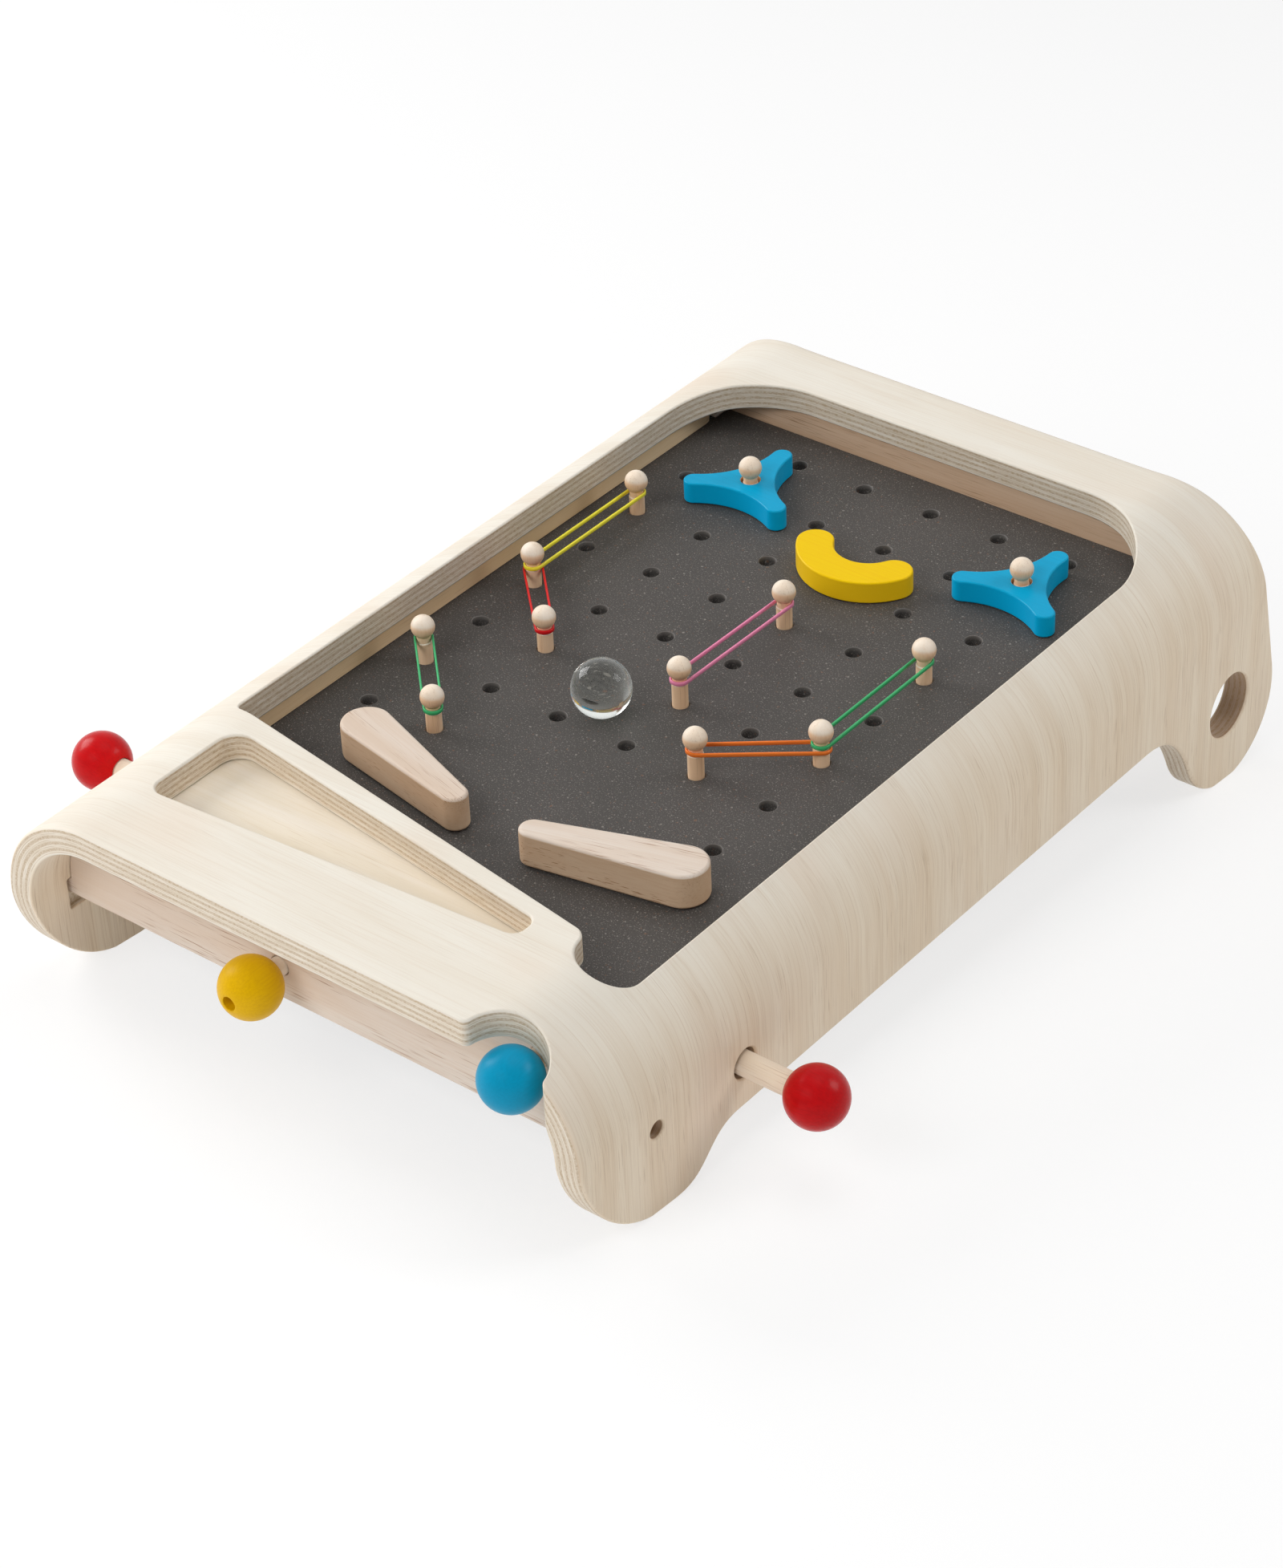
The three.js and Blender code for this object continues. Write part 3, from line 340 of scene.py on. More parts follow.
def block(left, right, front, back, corner=1, spacing=3.0):
    corners = ((left, front), (right, front), (right, back), (left, back))
    return rounded_outline([(x, y, corner) for x, y in corners], spacing)


def hole(x, y, radius, spacing=1.0):
    """A round hole, which runs clockwise so that the material is on its left."""
    return arc((x, y), radius, 0, -TURN, spacing)[:-1]


def unit(vectors):
    return vectors / np.maximum(np.linalg.norm(vectors, axis=1, keepdims=True), 1e-12)


def along(points):
    """The direction of a closed outline at each of its points."""
    return unit(np.roll(points, -1, 0) - np.roll(points, 1, 0))


def inside(points, outlines):
    """Which points lie within the outlines, by counting the edges to their right."""
    crossings = np.zeros(len(points), int)
    for outline in outlines:
        for a, b in zip(outline, np.roll(outline, -1, 0)):
            spans = (a[1] > points[:, 1]) != (b[1] > points[:, 1])
            if spans.any():
                cross_x = a[0] + (points[:, 1] - a[1]) * (b[0] - a[0]) / (b[1] - a[1])
                crossings += spans & (points[:, 0] < cross_x)
    return crossings % 2 == 1


def fill(outlines, extra):
    """Anticlockwise triangles between the outlines, through the extra points, as numbers into all these points."""
    edges = []
    for outline in outlines:
        numbers = np.arange(len(edges), len(edges) + len(outline))
        edges += zip(numbers.tolist(), np.roll(numbers, -1).tolist())
    points = [Vector(point) for point in np.concatenate([*outlines, extra])]
    found = delaunay_2d_cdt(points, edges, [], 0, TINY)
    corners = np.array([vertex[:] for vertex in found[0]])
    triangles = np.array(found[2])
    kept = triangles[inside(corners[triangles].mean(1), outlines)]
    a, b, c = corners[kept].transpose(1, 0, 2)
    clockwise = (b[:, 0] - a[:, 0]) * (c[:, 1] - a[:, 1]) < (b[:, 1] - a[:, 1]) * (c[:, 0] - a[:, 0])
    kept[clockwise] = kept[clockwise][:, ::-1]
    return np.array([numbers[0] for numbers in found[3]])[kept]


def finished(name, mesh, material, fibre):
    """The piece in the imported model's frame. Each point keeps its place in the wood, along the fibres first."""
    places = np.empty(len(mesh.vertices) * 3, np.float32)
    mesh.vertices.foreach_get("co", places)
    way = Vector(fibre).normalized()
    aside = way.orthogonal().normalized()
    in_wood = places.reshape(-1, 3) @ np.array([way, aside, way.cross(aside)]).T
    grain_place = mesh.attributes.new("grain_place", "FLOAT_VECTOR", "POINT")
    grain_place.data.foreach_set("vector", in_wood.ravel().astype(np.float32))
    mesh.transform(board_matrix)
    mesh.materials.clear()
    mesh.materials.append(material)
    return put(name, mesh)


class Surface:
    """Points with their true normals, and the faces between them, gathered for one mesh."""

    def __init__(self):
        self.points, self.normals, self.faces, self.count = [], [], [], 0

    def add(self, points, normals):
        self.points.append(points)
        self.normals.append(unit(normals))
        self.count += len(points)
        return np.arange(self.count - len(points), self.count)

    def band(self, row, following):
        """Faces between two rows of points, the second one further from the front. A row may be one point."""
        for corners in zip(row, following, np.roll(following, -1), np.roll(row, -1)):
            self.faces.append(tuple(dict.fromkeys(corners)))

    def build(self, node, name, material, fibre):
        mesh = bpy.data.meshes.new(name)
        faces = [[int(number) for number in face] for face in self.faces]
        mesh.from_pydata(np.concatenate(self.points).tolist(), [], faces)
        mesh.shade_smooth()
        piece = finished(name, mesh, material, fibre)
        normals = np.concatenate(self.normals) @ np.array(tilt).T
        mesh.normals_split_custom_set_from_vertices(normals.tolist())
        if node:
            stand_for([node], piece)
        return piece


ROUNDING = 4
NUDGE = 0.01
GRID_SPACE = 1.3
NO_POINTS = np.empty((0, 2))
quarter_steps = [(1 - sin(a), 1 - cos(a), cos(a), sin(a)) for a in np.linspace(0, QUARTER, ROUNDING + 1)]


def routed(
    node, name, outlines, place, thickness, material,
    arris=1.0, back_arris=None, pits=(), grid=NO_POINTS, fibre=ACROSS,
):
    """A sheet with routed outlines and rounded arrises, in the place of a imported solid. An outline is its points, or
    gives them at a depth in the sheet, and place says where a point of the sheet lies at a depth. Pits are blind cuts
    (outline, depth) in its back, and the grid's points carry the faces over a bend."""
    surface = Surface()

    def at(outline, depth):
        return outline(depth) if callable(outline) else outline

    def face_normal(flat, depth):
        over, up = (place(flat + way, depth) - place(flat - way, depth) for way in np.eye(2) * NUDGE)
        return unit(np.cross(over, up))

    def edge_row(outline, inset, depth, face, side):
        flat = at(outline, depth)
        way = along(flat)
        flat = flat - np.stack([way[:, 1], -way[:, 0]], 1) * np.reshape(inset, (-1, 1))
        above, level, below = (place(at(outline, height), height) for height in (depth - NUDGE, depth, depth + NUDGE))
        wall = unit(np.cross(along(level), above - below))
        return flat, surface.add(place(flat, depth), face * face_normal(flat, depth) + side * wall)

    def wall(outline, *ends):
        """Rows of points down a wall. Each end has an arris, a depth, and its ways in, down and out."""
        rows = []
        for (size, height, inward, down, face), steps in zip(ends, (quarter_steps, quarter_steps[::-1])):
            for inset, depth, front, side in steps:
                at_depth = height + down * depth * size
                rows.append(edge_row(outline, inward * inset * size, at_depth, face * front, side))
        for (_, row), (_, following) in zip(rows, rows[1:]):
            surface.band(row, following)
        return rows[0], rows[-1]

    arrises, back_arrises = (
        size if isinstance(size, list) else [size] * len(outlines)
        for size in (arris, arris if back_arris is None else back_arris)
    )
    walls = [
        wall(outline, (size, 0, 1, 1, 1), (back, thickness, 1, -1, -1))
        for outline, size, back in zip(outlines, arrises, back_arrises)
    ]
    fronts, backs = (list(rows) for rows in zip(*walls))
    for outline, depth in pits:
        size = INNER_ARRIS / 2
        bottom, mouth = wall(outline, (size, thickness - depth, -1, 1, -1), (size, thickness, 1, -1, -1))
        backs.append(mouth)
        surface.faces += [bottom[1][corner][::-1] for corner in fill([bottom[0]], NO_POINTS)]
    for rows, depth, order in ((fronts, 0, 1), (backs, thickness, -1)):
        loops = [flat for flat, _ in rows]
        extra = grid[inside(grid, loops)]
        extra = extra[np.linalg.norm(extra[:, None] - np.concatenate(loops), axis=2).min(1) > GRID_SPACE]
        added = surface.add(place(extra, depth), order * face_normal(extra, depth))
        numbers = np.concatenate([*(row for _, row in rows), added])
        surface.faces += [numbers[corner][::order] for corner in fill(loops, extra)]
    return surface.build(node, name, material, fibre)


def shell_place(flat, depth):
    """Where a point of the bent sheet lies: its first size runs over the top and down the sides."""
    side, reach = np.sign(flat[:, 0]), np.abs(flat[:, 0])
    turn = np.clip((reach - bend_start) / BEND_RADIUS, 0, QUARTER)
    radius = BEND_RADIUS - depth
    x = side * (np.minimum(reach, bend_start) + radius * np.sin(turn))
    z = bend_z + radius * np.cos(turn) - np.maximum(reach - bend_end, 0)
    return np.stack([x, flat[:, 1], z], 1)


def over_sheet(x, depth):
    """The place over the sheet that a vertical cut at x meets at a depth."""
    reach = np.clip((np.abs(x) - bend_start) / (BEND_RADIUS - depth), 0, 1)
    return np.sign(x) * (np.minimum(np.abs(x), bend_start) + BEND_RADIUS * np.arcsin(reach))


def vertical_cut(outline):
    """A cut straight down through the shell, drawn in plan."""
    return lambda depth: np.stack([over_sheet(outline[:, 0], depth), outline[:, 1]], 1)


def down_wall(z):
    """The place over the sheet of a height on the outer face of a side wall."""
    round_part = np.arccos(np.clip((np.maximum(z, bend_z) - bend_z) / BEND_RADIUS, 0, 1)) * BEND_RADIUS
    return bend_start + round_part + np.maximum(bend_z - z, 0)


def front_edge_at(x):
    return FRONT_EDGE_Y - tan(FRONT_SLOPE) * x


def opening_outline():
    """The field opening. A round between its slanted front edge and the plunger's lobe touches both."""
    slope = tan(FRONT_SLOPE)
    stretch = hypot(1, slope)
    lobe_x = OPENING_RIGHT - LOBE_RADIUS
    rise = FRONT_EDGE_Y - LOBE_CORNER * stretch - LOBE_Y
    b = lobe_x + rise * slope
    c = lobe_x ** 2 + rise ** 2 - (LOBE_RADIUS + LOBE_CORNER) ** 2
    corner_x = (b - sqrt(b ** 2 - stretch ** 2 * c)) / stretch ** 2
    corner_y = LOBE_Y + rise - slope * corner_x
    to_lobe = atan2(LOBE_Y - corner_y, lobe_x - corner_x)
    front_y = front_edge_at(-OPENING_LEFT) + OPENING_CORNER * tan((QUARTER - FRONT_SLOPE) / 2)
    right_back = (OPENING_RIGHT - RIGHT_ROUND, OPENING_BACK - RIGHT_ROUND)
    left_back = (LEFT_ROUND - OPENING_LEFT, OPENING_BACK - LEFT_ROUND)
    return closed_round([
        arc((OPENING_CORNER - OPENING_LEFT, front_y), OPENING_CORNER, HALF, QUARTER - FRONT_SLOPE + HALF, 0.8),
        arc((corner_x, corner_y), LOBE_CORNER, QUARTER - FRONT_SLOPE, to_lobe, 0.8),
        arc((lobe_x, LOBE_Y), LOBE_RADIUS, to_lobe - HALF, 0, 1.5),
        arc(right_back, RIGHT_ROUND, 0, QUARTER),
        arc(left_back, LEFT_ROUND, QUARTER, HALF),
    ])


def side_outline():
    """The lower edge of a side wall in Y and Z, from the front edge round both feet to the back edge."""
    foot_y, foot_z = TOE_Y, -TOE_DEPTH
    heel_y = foot_y + TOE_FLAT
    skirt_y = heel_y + HEEL_LENGTH
    heel_ease = HEEL_EASE * HEEL_LENGTH
    toe_z = -EDGE_DEPTH - TOE_EASE * (TOE_DEPTH - EDGE_DEPTH)
    rear_foot = arc((REAR_FOOT_Y, -REAR_FOOT_DEPTH), REAR_ROUND, REAR_FOOT_JOIN, BACK_LEAN + TURN, 2.0)
    reach = rear_foot[0, 0] - SKIRT_END_Y
    rear_pull = REAR_PULL * reach * np.array([sin(REAR_FOOT_JOIN), -cos(REAR_FOOT_JOIN)])
    skirt, skirt_end = (skirt_y, -SKIRT_DEPTH), (SKIRT_END_Y, -SKIRT_END_DEPTH)
    skirt_pull = (SKIRT_END_Y + REAR_EASE * reach, -SKIRT_END_DEPTH)
    outline = joined([
        ease((0, -EDGE_DEPTH), (0, toe_z), (foot_y * (1 - TOE_ROUND), foot_z), (foot_y, foot_z)),
        ease((heel_y, foot_z), (heel_y + heel_ease, foot_z), (skirt_y - heel_ease, -SKIRT_DEPTH), skirt),
        line(skirt, skirt_end, 6),
        ease(skirt_end, skirt_pull, rear_foot[0] + rear_pull, rear_foot[0]),
        rear_foot,
    ])[:-1]
    table = -(board_origin.z / MM + outline[:, 0] * sin(BOARD_TILT)) / cos(BOARD_TILT)
    outline[:, 1] = np.maximum(outline[:, 1], table)
    return outline


def back_edge(over, depth):
    """The back edge leans out as it goes down."""
    z = shell_place(np.stack([over, over], 1), depth)[:, 2]
    return SHELL_LENGTH + tan(BACK_LEAN) * (SHELL_TOP - z)


notch_half = sqrt((NOTCH_RADIUS + NOTCH_CORNER) ** 2 - NOTCH_CORNER ** 2)
notch_turn = atan2(NOTCH_CORNER, notch_half)
notch = joined([
    arc((NOTCH_X - notch_half, NOTCH_CORNER), NOTCH_CORNER, -QUARTER, -notch_turn, 0.7),
    arc((NOTCH_X, 0), NOTCH_RADIUS, HALF - notch_turn, notch_turn, 1.0),
    arc((NOTCH_X + notch_half, NOTCH_CORNER), NOTCH_CORNER, HALF + notch_turn, HALF + QUARTER, 0.7),
])[:-1]
side = side_outline()
side_over = down_wall(side[:, 1])
left_front = line((-side_over[0], 0), (NOTCH_X - notch_half, 0))[:-1]
right_shares = np.linspace(0, 1, 20, endpoint=False)
foot_over = float(down_wall(REAR_ROUND * sin(BACK_LEAN) - REAR_FOOT_DEPTH))
back_over = joined([[(foot_over, 0)], [(bend_end, 0)], [(-bend_end, 0)], [(-foot_over, 0)]])[:, 0]
edge_marks = np.cumsum([len(row) for row in (left_front, notch, right_shares, side, back_over, side[1:])])


def shell_outline(depth):
    """The whole edge of the sheet: front edge, right side, back edge and left side."""
    _, notch_depth, right_depth, _, back_depth, _ = np.split(np.broadcast_to(depth, edge_marks[-1]), edge_marks[:-1])
    right_start = over_sheet(NOTCH_X + notch_half, right_depth)
    right = right_start + (side_over[0] - right_start) * right_shares
    return np.concatenate([
        left_front,
        np.stack([over_sheet(notch[:, 0], notch_depth), notch[:, 1]], 1),
        np.stack([right, 0 * right], 1),
        np.stack([side_over, side[:, 0]], 1),
        np.stack([back_over, back_edge(back_over, back_depth)], 1),
        np.stack([-side_over, side[:, 0]], 1)[:0:-1],
    ])


EDGE_SMOOTHING = 9
BEND_COLUMNS = 25
BEND_ROW_SPACE = 9.0
edge_sizes = np.full(edge_marks[-1], EDGE_ARRIS)
fade = np.clip((np.abs(back_over) - bend_start) / (BEND_RADIUS / 2), 0, 1)
edge_sizes[edge_marks[3]:edge_marks[4]] = BACK_ARRIS + (EDGE_ARRIS - BACK_ARRIS) * fade
edge_sizes[edge_marks[0]:edge_marks[1]] = CUT_ARRIS
wrapped_sizes = np.pad(edge_sizes, EDGE_SMOOTHING // 2, mode="wrap")
edge_sizes = np.convolve(wrapped_sizes, np.ones(EDGE_SMOOTHING) / EDGE_SMOOTHING, mode="valid")

cuts = [vertical_cut(opening_outline()[::-1]), vertical_cut(rounded_outline(TRAY_CORNERS)[::-1])]
pockets = []
for sign in (LEFT, RIGHT):
    cuts += [
        hole(sign * down_wall(-depth), y, radius, spacing)
        for y, depth, radius, spacing, sides in SIDE_HOLES if sign in sides
    ]
    pocket_sides = sorted(sign * down_wall(-depth) for depth in (POCKET_TOP, POCKET_DEPTH))
    pockets.append((block(*pocket_sides, POCKET_FRONT, POCKET_BACK)[::-1], POCKET_CUT))
bend_grid = np.array([
    (sign * over, y)
    for sign in (LEFT, RIGHT)
    for over in np.linspace(bend_start, bend_end, BEND_COLUMNS)
    for y in np.arange(2, SHELL_LENGTH + BEND_RADIUS, BEND_ROW_SPACE)
])


def new_tree(name, kind, inputs, outputs):
    """A tree of nodes with named inputs and outputs, and what flows into it."""
    tree = bpy.data.node_groups.new(name, kind)
    for way, sockets in (("INPUT", inputs), ("OUTPUT", outputs)):
        for socket, held in sockets.items():
            tree.interface.new_socket(socket, in_out=way, socket_type="NodeSocket" + held)
    return tree, add(tree, "NodeGroupInput", out=None)


def vector(operation, *values, out=0):
    return calc(operation, *values, kind="ShaderNodeVectorMath", out=out)


def split(place):
    return add(place.tree, "ShaderNodeSeparateXYZ", {0: place}, None)


def grouped(tree, group, inputs=None):
    """What flows out of a shader group."""
    return add(tree, "ShaderNodeGroup", inputs, None, node_tree=bpy.data.node_groups[group])


board_tree, _ = new_tree("place_on_board", "ShaderNodeTree", {}, {"Place": "Vector"})
from_board = vector("SUBTRACT", add(board_tree, "ShaderNodeTexCoord", out="Object"), board_origin)
turned_back = {"Vector": from_board, "Angle": -BOARD_TILT}
levelled = add(board_tree, "ShaderNodeVectorRotate", turned_back, rotation_type="X_AXIS")
add(board_tree, "NodeGroupOutput", {"Place": vector("MULTIPLY", levelled, (1 / MM, 1 / MM, 1 / MM))})


def build_sheet_tree():
    """The place in the bent sheet: over it along the bend, along the toy, and the depth below its outer face."""
    group, _ = new_tree("place_in_sheet", "ShaderNodeTree", {}, {"Sheet": "Vector", "Depth": "Float"})
    place = split(grouped(group, "place_on_board")["Place"])
    reach, above = abs(place["X"]), place["Z"] - bend_z
    past, up, below = (calc("MAXIMUM", value, 0) for value in (reach - bend_start, above, above * -1))
    over = calc("MINIMUM", reach, bend_start) + calc("ARCTAN2", past, up) * BEND_RADIUS + below
    depth = BEND_RADIUS - calc("SQRT", past * past + up * up)
    sheet = add(group, "ShaderNodeCombineXYZ", {0: over * calc("SIGN", place["X"]), 1: place["Y"], 2: depth})
    add(group, "NodeGroupOutput", {"Sheet": sheet, "Depth": depth})


def noise(place, repeats, detail=2.0, roughness=0.5):
    """Noise with its repeats in a millimetre, each way or in all ways."""
    scaled = vector("MULTIPLY", place, repeats if isinstance(repeats, tuple) else (repeats, repeats, repeats))
    inputs = {"Vector": scaled, "Scale": 1, "Detail": detail, "Roughness": roughness}
    return add(place.tree, "ShaderNodeTexNoise", inputs)


def ramp(value, low, high):
    """0 below one value and 1 above another, with a smooth rise between."""
    inputs = {"Value": value, "From Min": low, "From Max": high}
    return add(value.tree, "ShaderNodeMapRange", inputs, interpolation_type="SMOOTHSTEP")


def build_wood_tree():
    """Wood whose fibres run along the first direction of the place: slow figure, fine fibres and short pores."""
    outputs = {"Figure": "Float", "Fibres": "Float", "Pores": "Float"}
    group, entry = new_tree("wood_grain", "ShaderNodeTree", {"Place": "Vector"}, outputs)
    place = entry["Place"]
    figure = ramp(noise(place, (0.006, 0.055, 0.055), 3, 0.6), 0.3, 0.72)
    fibres = noise(place, (0.02, 1.3, 1.3))
    coarse = noise(place, (0.06, 2.3, 2.3), 1)
    patches = noise(place, (0.02, 0.09, 0.09), 1)
    pores = ramp(coarse, 0.6, 0.7) * ramp(patches, 0.38, 0.62)
    add(group, "NodeGroupOutput", {"Figure": figure, "Fibres": fibres, "Pores": pores})


build_sheet_tree()
build_wood_tree()


def colour(code):
    """A colour as it looks on a screen, as the light values that a material takes."""
    parts = [int(code[i:i + 2], 16) / 255 for i in (0, 2, 4)]
    return (*[part / 12.92 if part <= 0.04045 else ((part + 0.055) / 1.055) ** 2.4 for part in parts], 1)


def mix(share, first, second, kind="MIX"):
    """Lays a share of the second colour over the first."""
    first, second = (colour(value) if isinstance(value, str) else value for value in (first, second))
    inputs = {0: share, 6: first, 7: second}
    return add(share.tree, "ShaderNodeMix", inputs, 2, data_type="RGBA", blend_type=kind)


def new_material(name):
    material = bpy.data.materials.new(name)
    material.use_nodes = True
    return material, material.node_tree


def dress(tree, base, height, relief=0.04, strength=0.5, roughness=0.5, gloss=0.25):
    """Gives a material its colour, its sheen and a relief in millimetres."""
    bump = {"Height": height, "Distance": relief * MM, "Strength": strength}
    surface = {"Base Color": base, "Roughness": roughness, "Specular IOR Level": gloss}
    set_inputs(tree.nodes["Principled BSDF"], {**surface, "Normal": add(tree, "ShaderNodeBump", bump)})


def grain_relief(grain):
    return grain["Fibres"] * 0.4 - grain["Pores"]


LAYERS = 9
BROWNER_WALL_REACH = 1.2
layer = PLY / LAYERS
warm_from, warm_to = bend_start + 10, bend_end + 4


def reach_from(place, middle, ways):
    """How far a place is from an axis, measured only along the given ways."""
    return vector("LENGTH", vector("MULTIPLY", vector("SUBTRACT", place, middle), ways), out="Value")


def veneer_material():
    """Pale face veneer whose grain runs over the bend and down the sides, where it is more figured and painted warmer,
    partly its own tone and partly painted shade, and the layers of the ply where it is cut. The walls of the side
    holes are painted browner."""
    material, tree = new_material("lacquered_plywood")
    in_sheet = grouped(tree, "place_in_sheet")
    sheet, depth = in_sheet["Sheet"], in_sheet["Depth"]
    grain = grouped(tree, "wood_grain", {"Place": sheet})
    # Down the sides the veneer is painted warmer: partly its own tone, partly painted shade.
    down = ramp(abs(split(sheet)["X"]), warm_from, warm_to)
    top = mix(grain["Figure"], "efe9dd", "e9e0d1")
    side = mix(grain["Figure"], "f3e4cd", "ead6bb")
    side = mix(ramp(noise(sheet, (0.003, 0.07, 0.07)), 0.46, 0.74) * 0.2, side, "d9c3a6")
    face = mix(down, top, side)
    face = mix(ramp(noise(sheet, (0.012, 0.02, 0.02), 1), 0.5, 0.75) * 0.4, face, "e8d5c1")
    face = mix(ramp(grain["Fibres"], 0.48, 0.75) * (down * 0.16 + 0.16), face, "cbb193")
    lines = ramp(noise(sheet, (0.014, 0.8, 0.8), 2, 0.6), 0.53, 0.67)
    face = mix(lines * (down * 0.14 + 0.08), face, "c8a880")
    face = mix(grain["Pores"] * (down * 0.3 + 0.1), face, "b08f6c")

    layers = depth / layer + (noise(sheet, (0.03, 0.03, 0.2)) - 0.5) * 0.5
    light_layer = mix(ramp(noise(sheet, (0.05, 0.3, 1.8)), 0.35, 0.7), "efe5d6", "decfb9")
    dark_layer = mix(ramp(noise(sheet, (0.9, 0.9, 1.6)), 0.35, 0.7), "decfbb", "c8b294")
    edge = mix(ramp(calc("PINGPONG", layers, 1), 0.4, 0.6), light_layer, dark_layer)
    from_glue = abs(calc("FRACT", layers + 0.5) - 0.5)
    broken = ramp(noise(sheet, (0.12, 0.12, 0.6)), 0.35, 0.6)
    edge = mix((1 - ramp(from_glue, 0.04, 0.13)) * broken * 0.45, edge, "ae8f6b")
    board = grouped(tree, "place_on_board")["Place"]
    # The walls of the side holes are painted browner, within a set reach of each hole's axis.
    for y, hole_depth, radius, *_ in SIDE_HOLES:
        browner_hole_wall = calc("LESS_THAN", reach_from(board, (0, y, -hole_depth), (0, 1, 1)), radius + BROWNER_WALL_REACH)
        edge = mix(browner_hole_wall * 0.6, edge, "a78261")
    under = calc("MINIMUM", depth, PLY - depth)
    dress(tree, mix(ramp(under, layer * 0.6, layer * 0.8), face, edge), grain_relief(grain))
    return material


routed(
    "plywood_shell", "bent_shell", [shell_outline, *cuts], shell_place, PLY, veneer_material(),
    arris=[edge_sizes] + [CUT_ARRIS] * len(cuts), back_arris=INNER_ARRIS, pits=pockets, grid=bend_grid,
)

# Tray floor
# A thin sheet of pale wood, glued under the tray's cut-out, where it makes a dish for spare marbles, pegs and bands.
# It reaches from the front rail to just short of the field opening.
GAP = 0.3
TRAY_FLOOR = 4
TRAY_FLOOR_SIDES = (-100, 85.8)
TRAY_FLOOR_SETBACK = 2
RAIL_FACE = 21
RAIL_THICKNESS = 12
rail_back = RAIL_FACE + RAIL_THICKNESS + GAP


def slab(axis, face, way=-1):
    """A sheet whose front face stands square to an axis at this place, and whose depth goes this way."""
    return lambda flat, depth: np.insert(flat, axis, face + way * depth, axis=1)


def own_grain(tree):
    """The place in a piece's own wood, and the grain there."""
    place = add(tree, "ShaderNodeAttribute", out="Vector", attribute_name="grain_place")
    return place, grouped(tree, "wood_grain", {"Place": place})


def upright_painted_light_share(tree):
    """1 on upright faces and on those turned down, and 0 on those that look up: where painted shade or painted light
    goes on the sides.
    """
    return 1 - ramp(split(add(tree, "ShaderNodeTexCoord", out="Normal"))["Z"], 0, 0.4)


def wood_material(name, light, dark, pore, figure=0.8, fibres=0.4, pores=0.35, side="ffffff"):
    """Sanded wood: slow changes of colour along the fibres, fine fibres, and short dark pores. Its upright faces can
    be painted browner than its upper ones, as painted shade."""
    material, tree = new_material(name)
    _, grain = own_grain(tree)
    base = mix(grain["Figure"] * figure, light, dark)
    base = mix(ramp(grain["Fibres"], 0.42, 0.72) * fibres, base, dark)
    base = mix(grain["Pores"] * pores, base, pore)
    # The side colour is multiplied over the upright faces: painted shade, not a colour of the wood.
    dress(tree, mix(upright_painted_light_share(tree), base, side, "MULTIPLY"), grain_relief(grain))
    return material


tray_wood = wood_material("pale_figured_wood", "ede4d6", "e5d8c1", "c2a47c", figure=1, pores=0.25)
tray_fronts = [(x, rail_back, 1) for x in TRAY_FLOOR_SIDES]
tray_backs = [(x, front_edge_at(x) - TRAY_FLOOR_SETBACK, 1) for x in TRAY_FLOOR_SIDES]
tray_outline = rounded_outline([*tray_fronts, *tray_backs[::-1]])
routed("tray_floor", "tray_sheet", [tray_outline], slab(2, SHELL_TOP - PLY - GAP), TRAY_FLOOR, tray_wood, 0.3)

# Front and back rails
# Boards of rubberwood set across the shell, their tops shaped to the inside of its bends. The front rail's ends are
# let into pockets in the walls, and the dowels of the two front knobs run through it.
RAIL_DEPTH = 31.5
TENON_TOP = 24
BACK_RAIL_FACE = 422.7
BACK_RAIL_THICKNESS = 14
BACK_RAIL_DEPTH = 25
RAIL_ARRIS = 0.4
PLUNGER_X, PLUNGER_Z = 108.9, 2.2
PULL_X, PULL_Z = -19, -16
DOWEL_RADIUS = 4
dowel_bore = DOWEL_RADIUS + GAP
wall_face = half_width - PLY - GAP
bend_face = BEND_RADIUS - PLY - GAP


def rail_outline(depth, reach):
    """The rail seen from the front, with tenons of this reach into the walls."""
    end = wall_face + reach
    low = [(0, -depth), (end, -depth, 1)]
    if reach:
        low += [(end, -TENON_TOP, 1), (wall_face, -TENON_TOP, 0.5)]
    half = joined([
        rounded_path([*low, (wall_face, bend_z)], 4.0),
        arc((bend_start, bend_z), bend_face, 0, QUARTER, 2.0),
        [(0, bend_z + bend_face)],
    ], 4.0)
    return np.concatenate([half, (half * (-1, 1))[-2:0:-1]])


rubberwood = wood_material("rubberwood", "e4d8cc", "d7c0ab", "a57a5c", pores=0.8)
# A darker, browner copy of the rubberwood for the back rail, as painted shade.
brown_rubberwood = wood_material("brown_rubberwood", "ddbfa3", "cba583", "93694b", fibres=0.35, pores=0.6)
rail_bores = [hole(x, z, dowel_bore, 0.7) for x, z in ((PLUNGER_X, PLUNGER_Z), (PULL_X, PULL_Z))]
routed(
    "front_rail", "shaped_front_rail", [rail_outline(RAIL_DEPTH, POCKET_CUT), *rail_bores], slab(1, RAIL_FACE, 1),
    RAIL_THICKNESS, rubberwood, RAIL_ARRIS,
)
routed(
    "back_rail", "shaped_back_rail", [rail_outline(BACK_RAIL_DEPTH, 0)], slab(1, BACK_RAIL_FACE, 1),
    BACK_RAIL_THICKNESS, brown_rubberwood, RAIL_ARRIS,
)

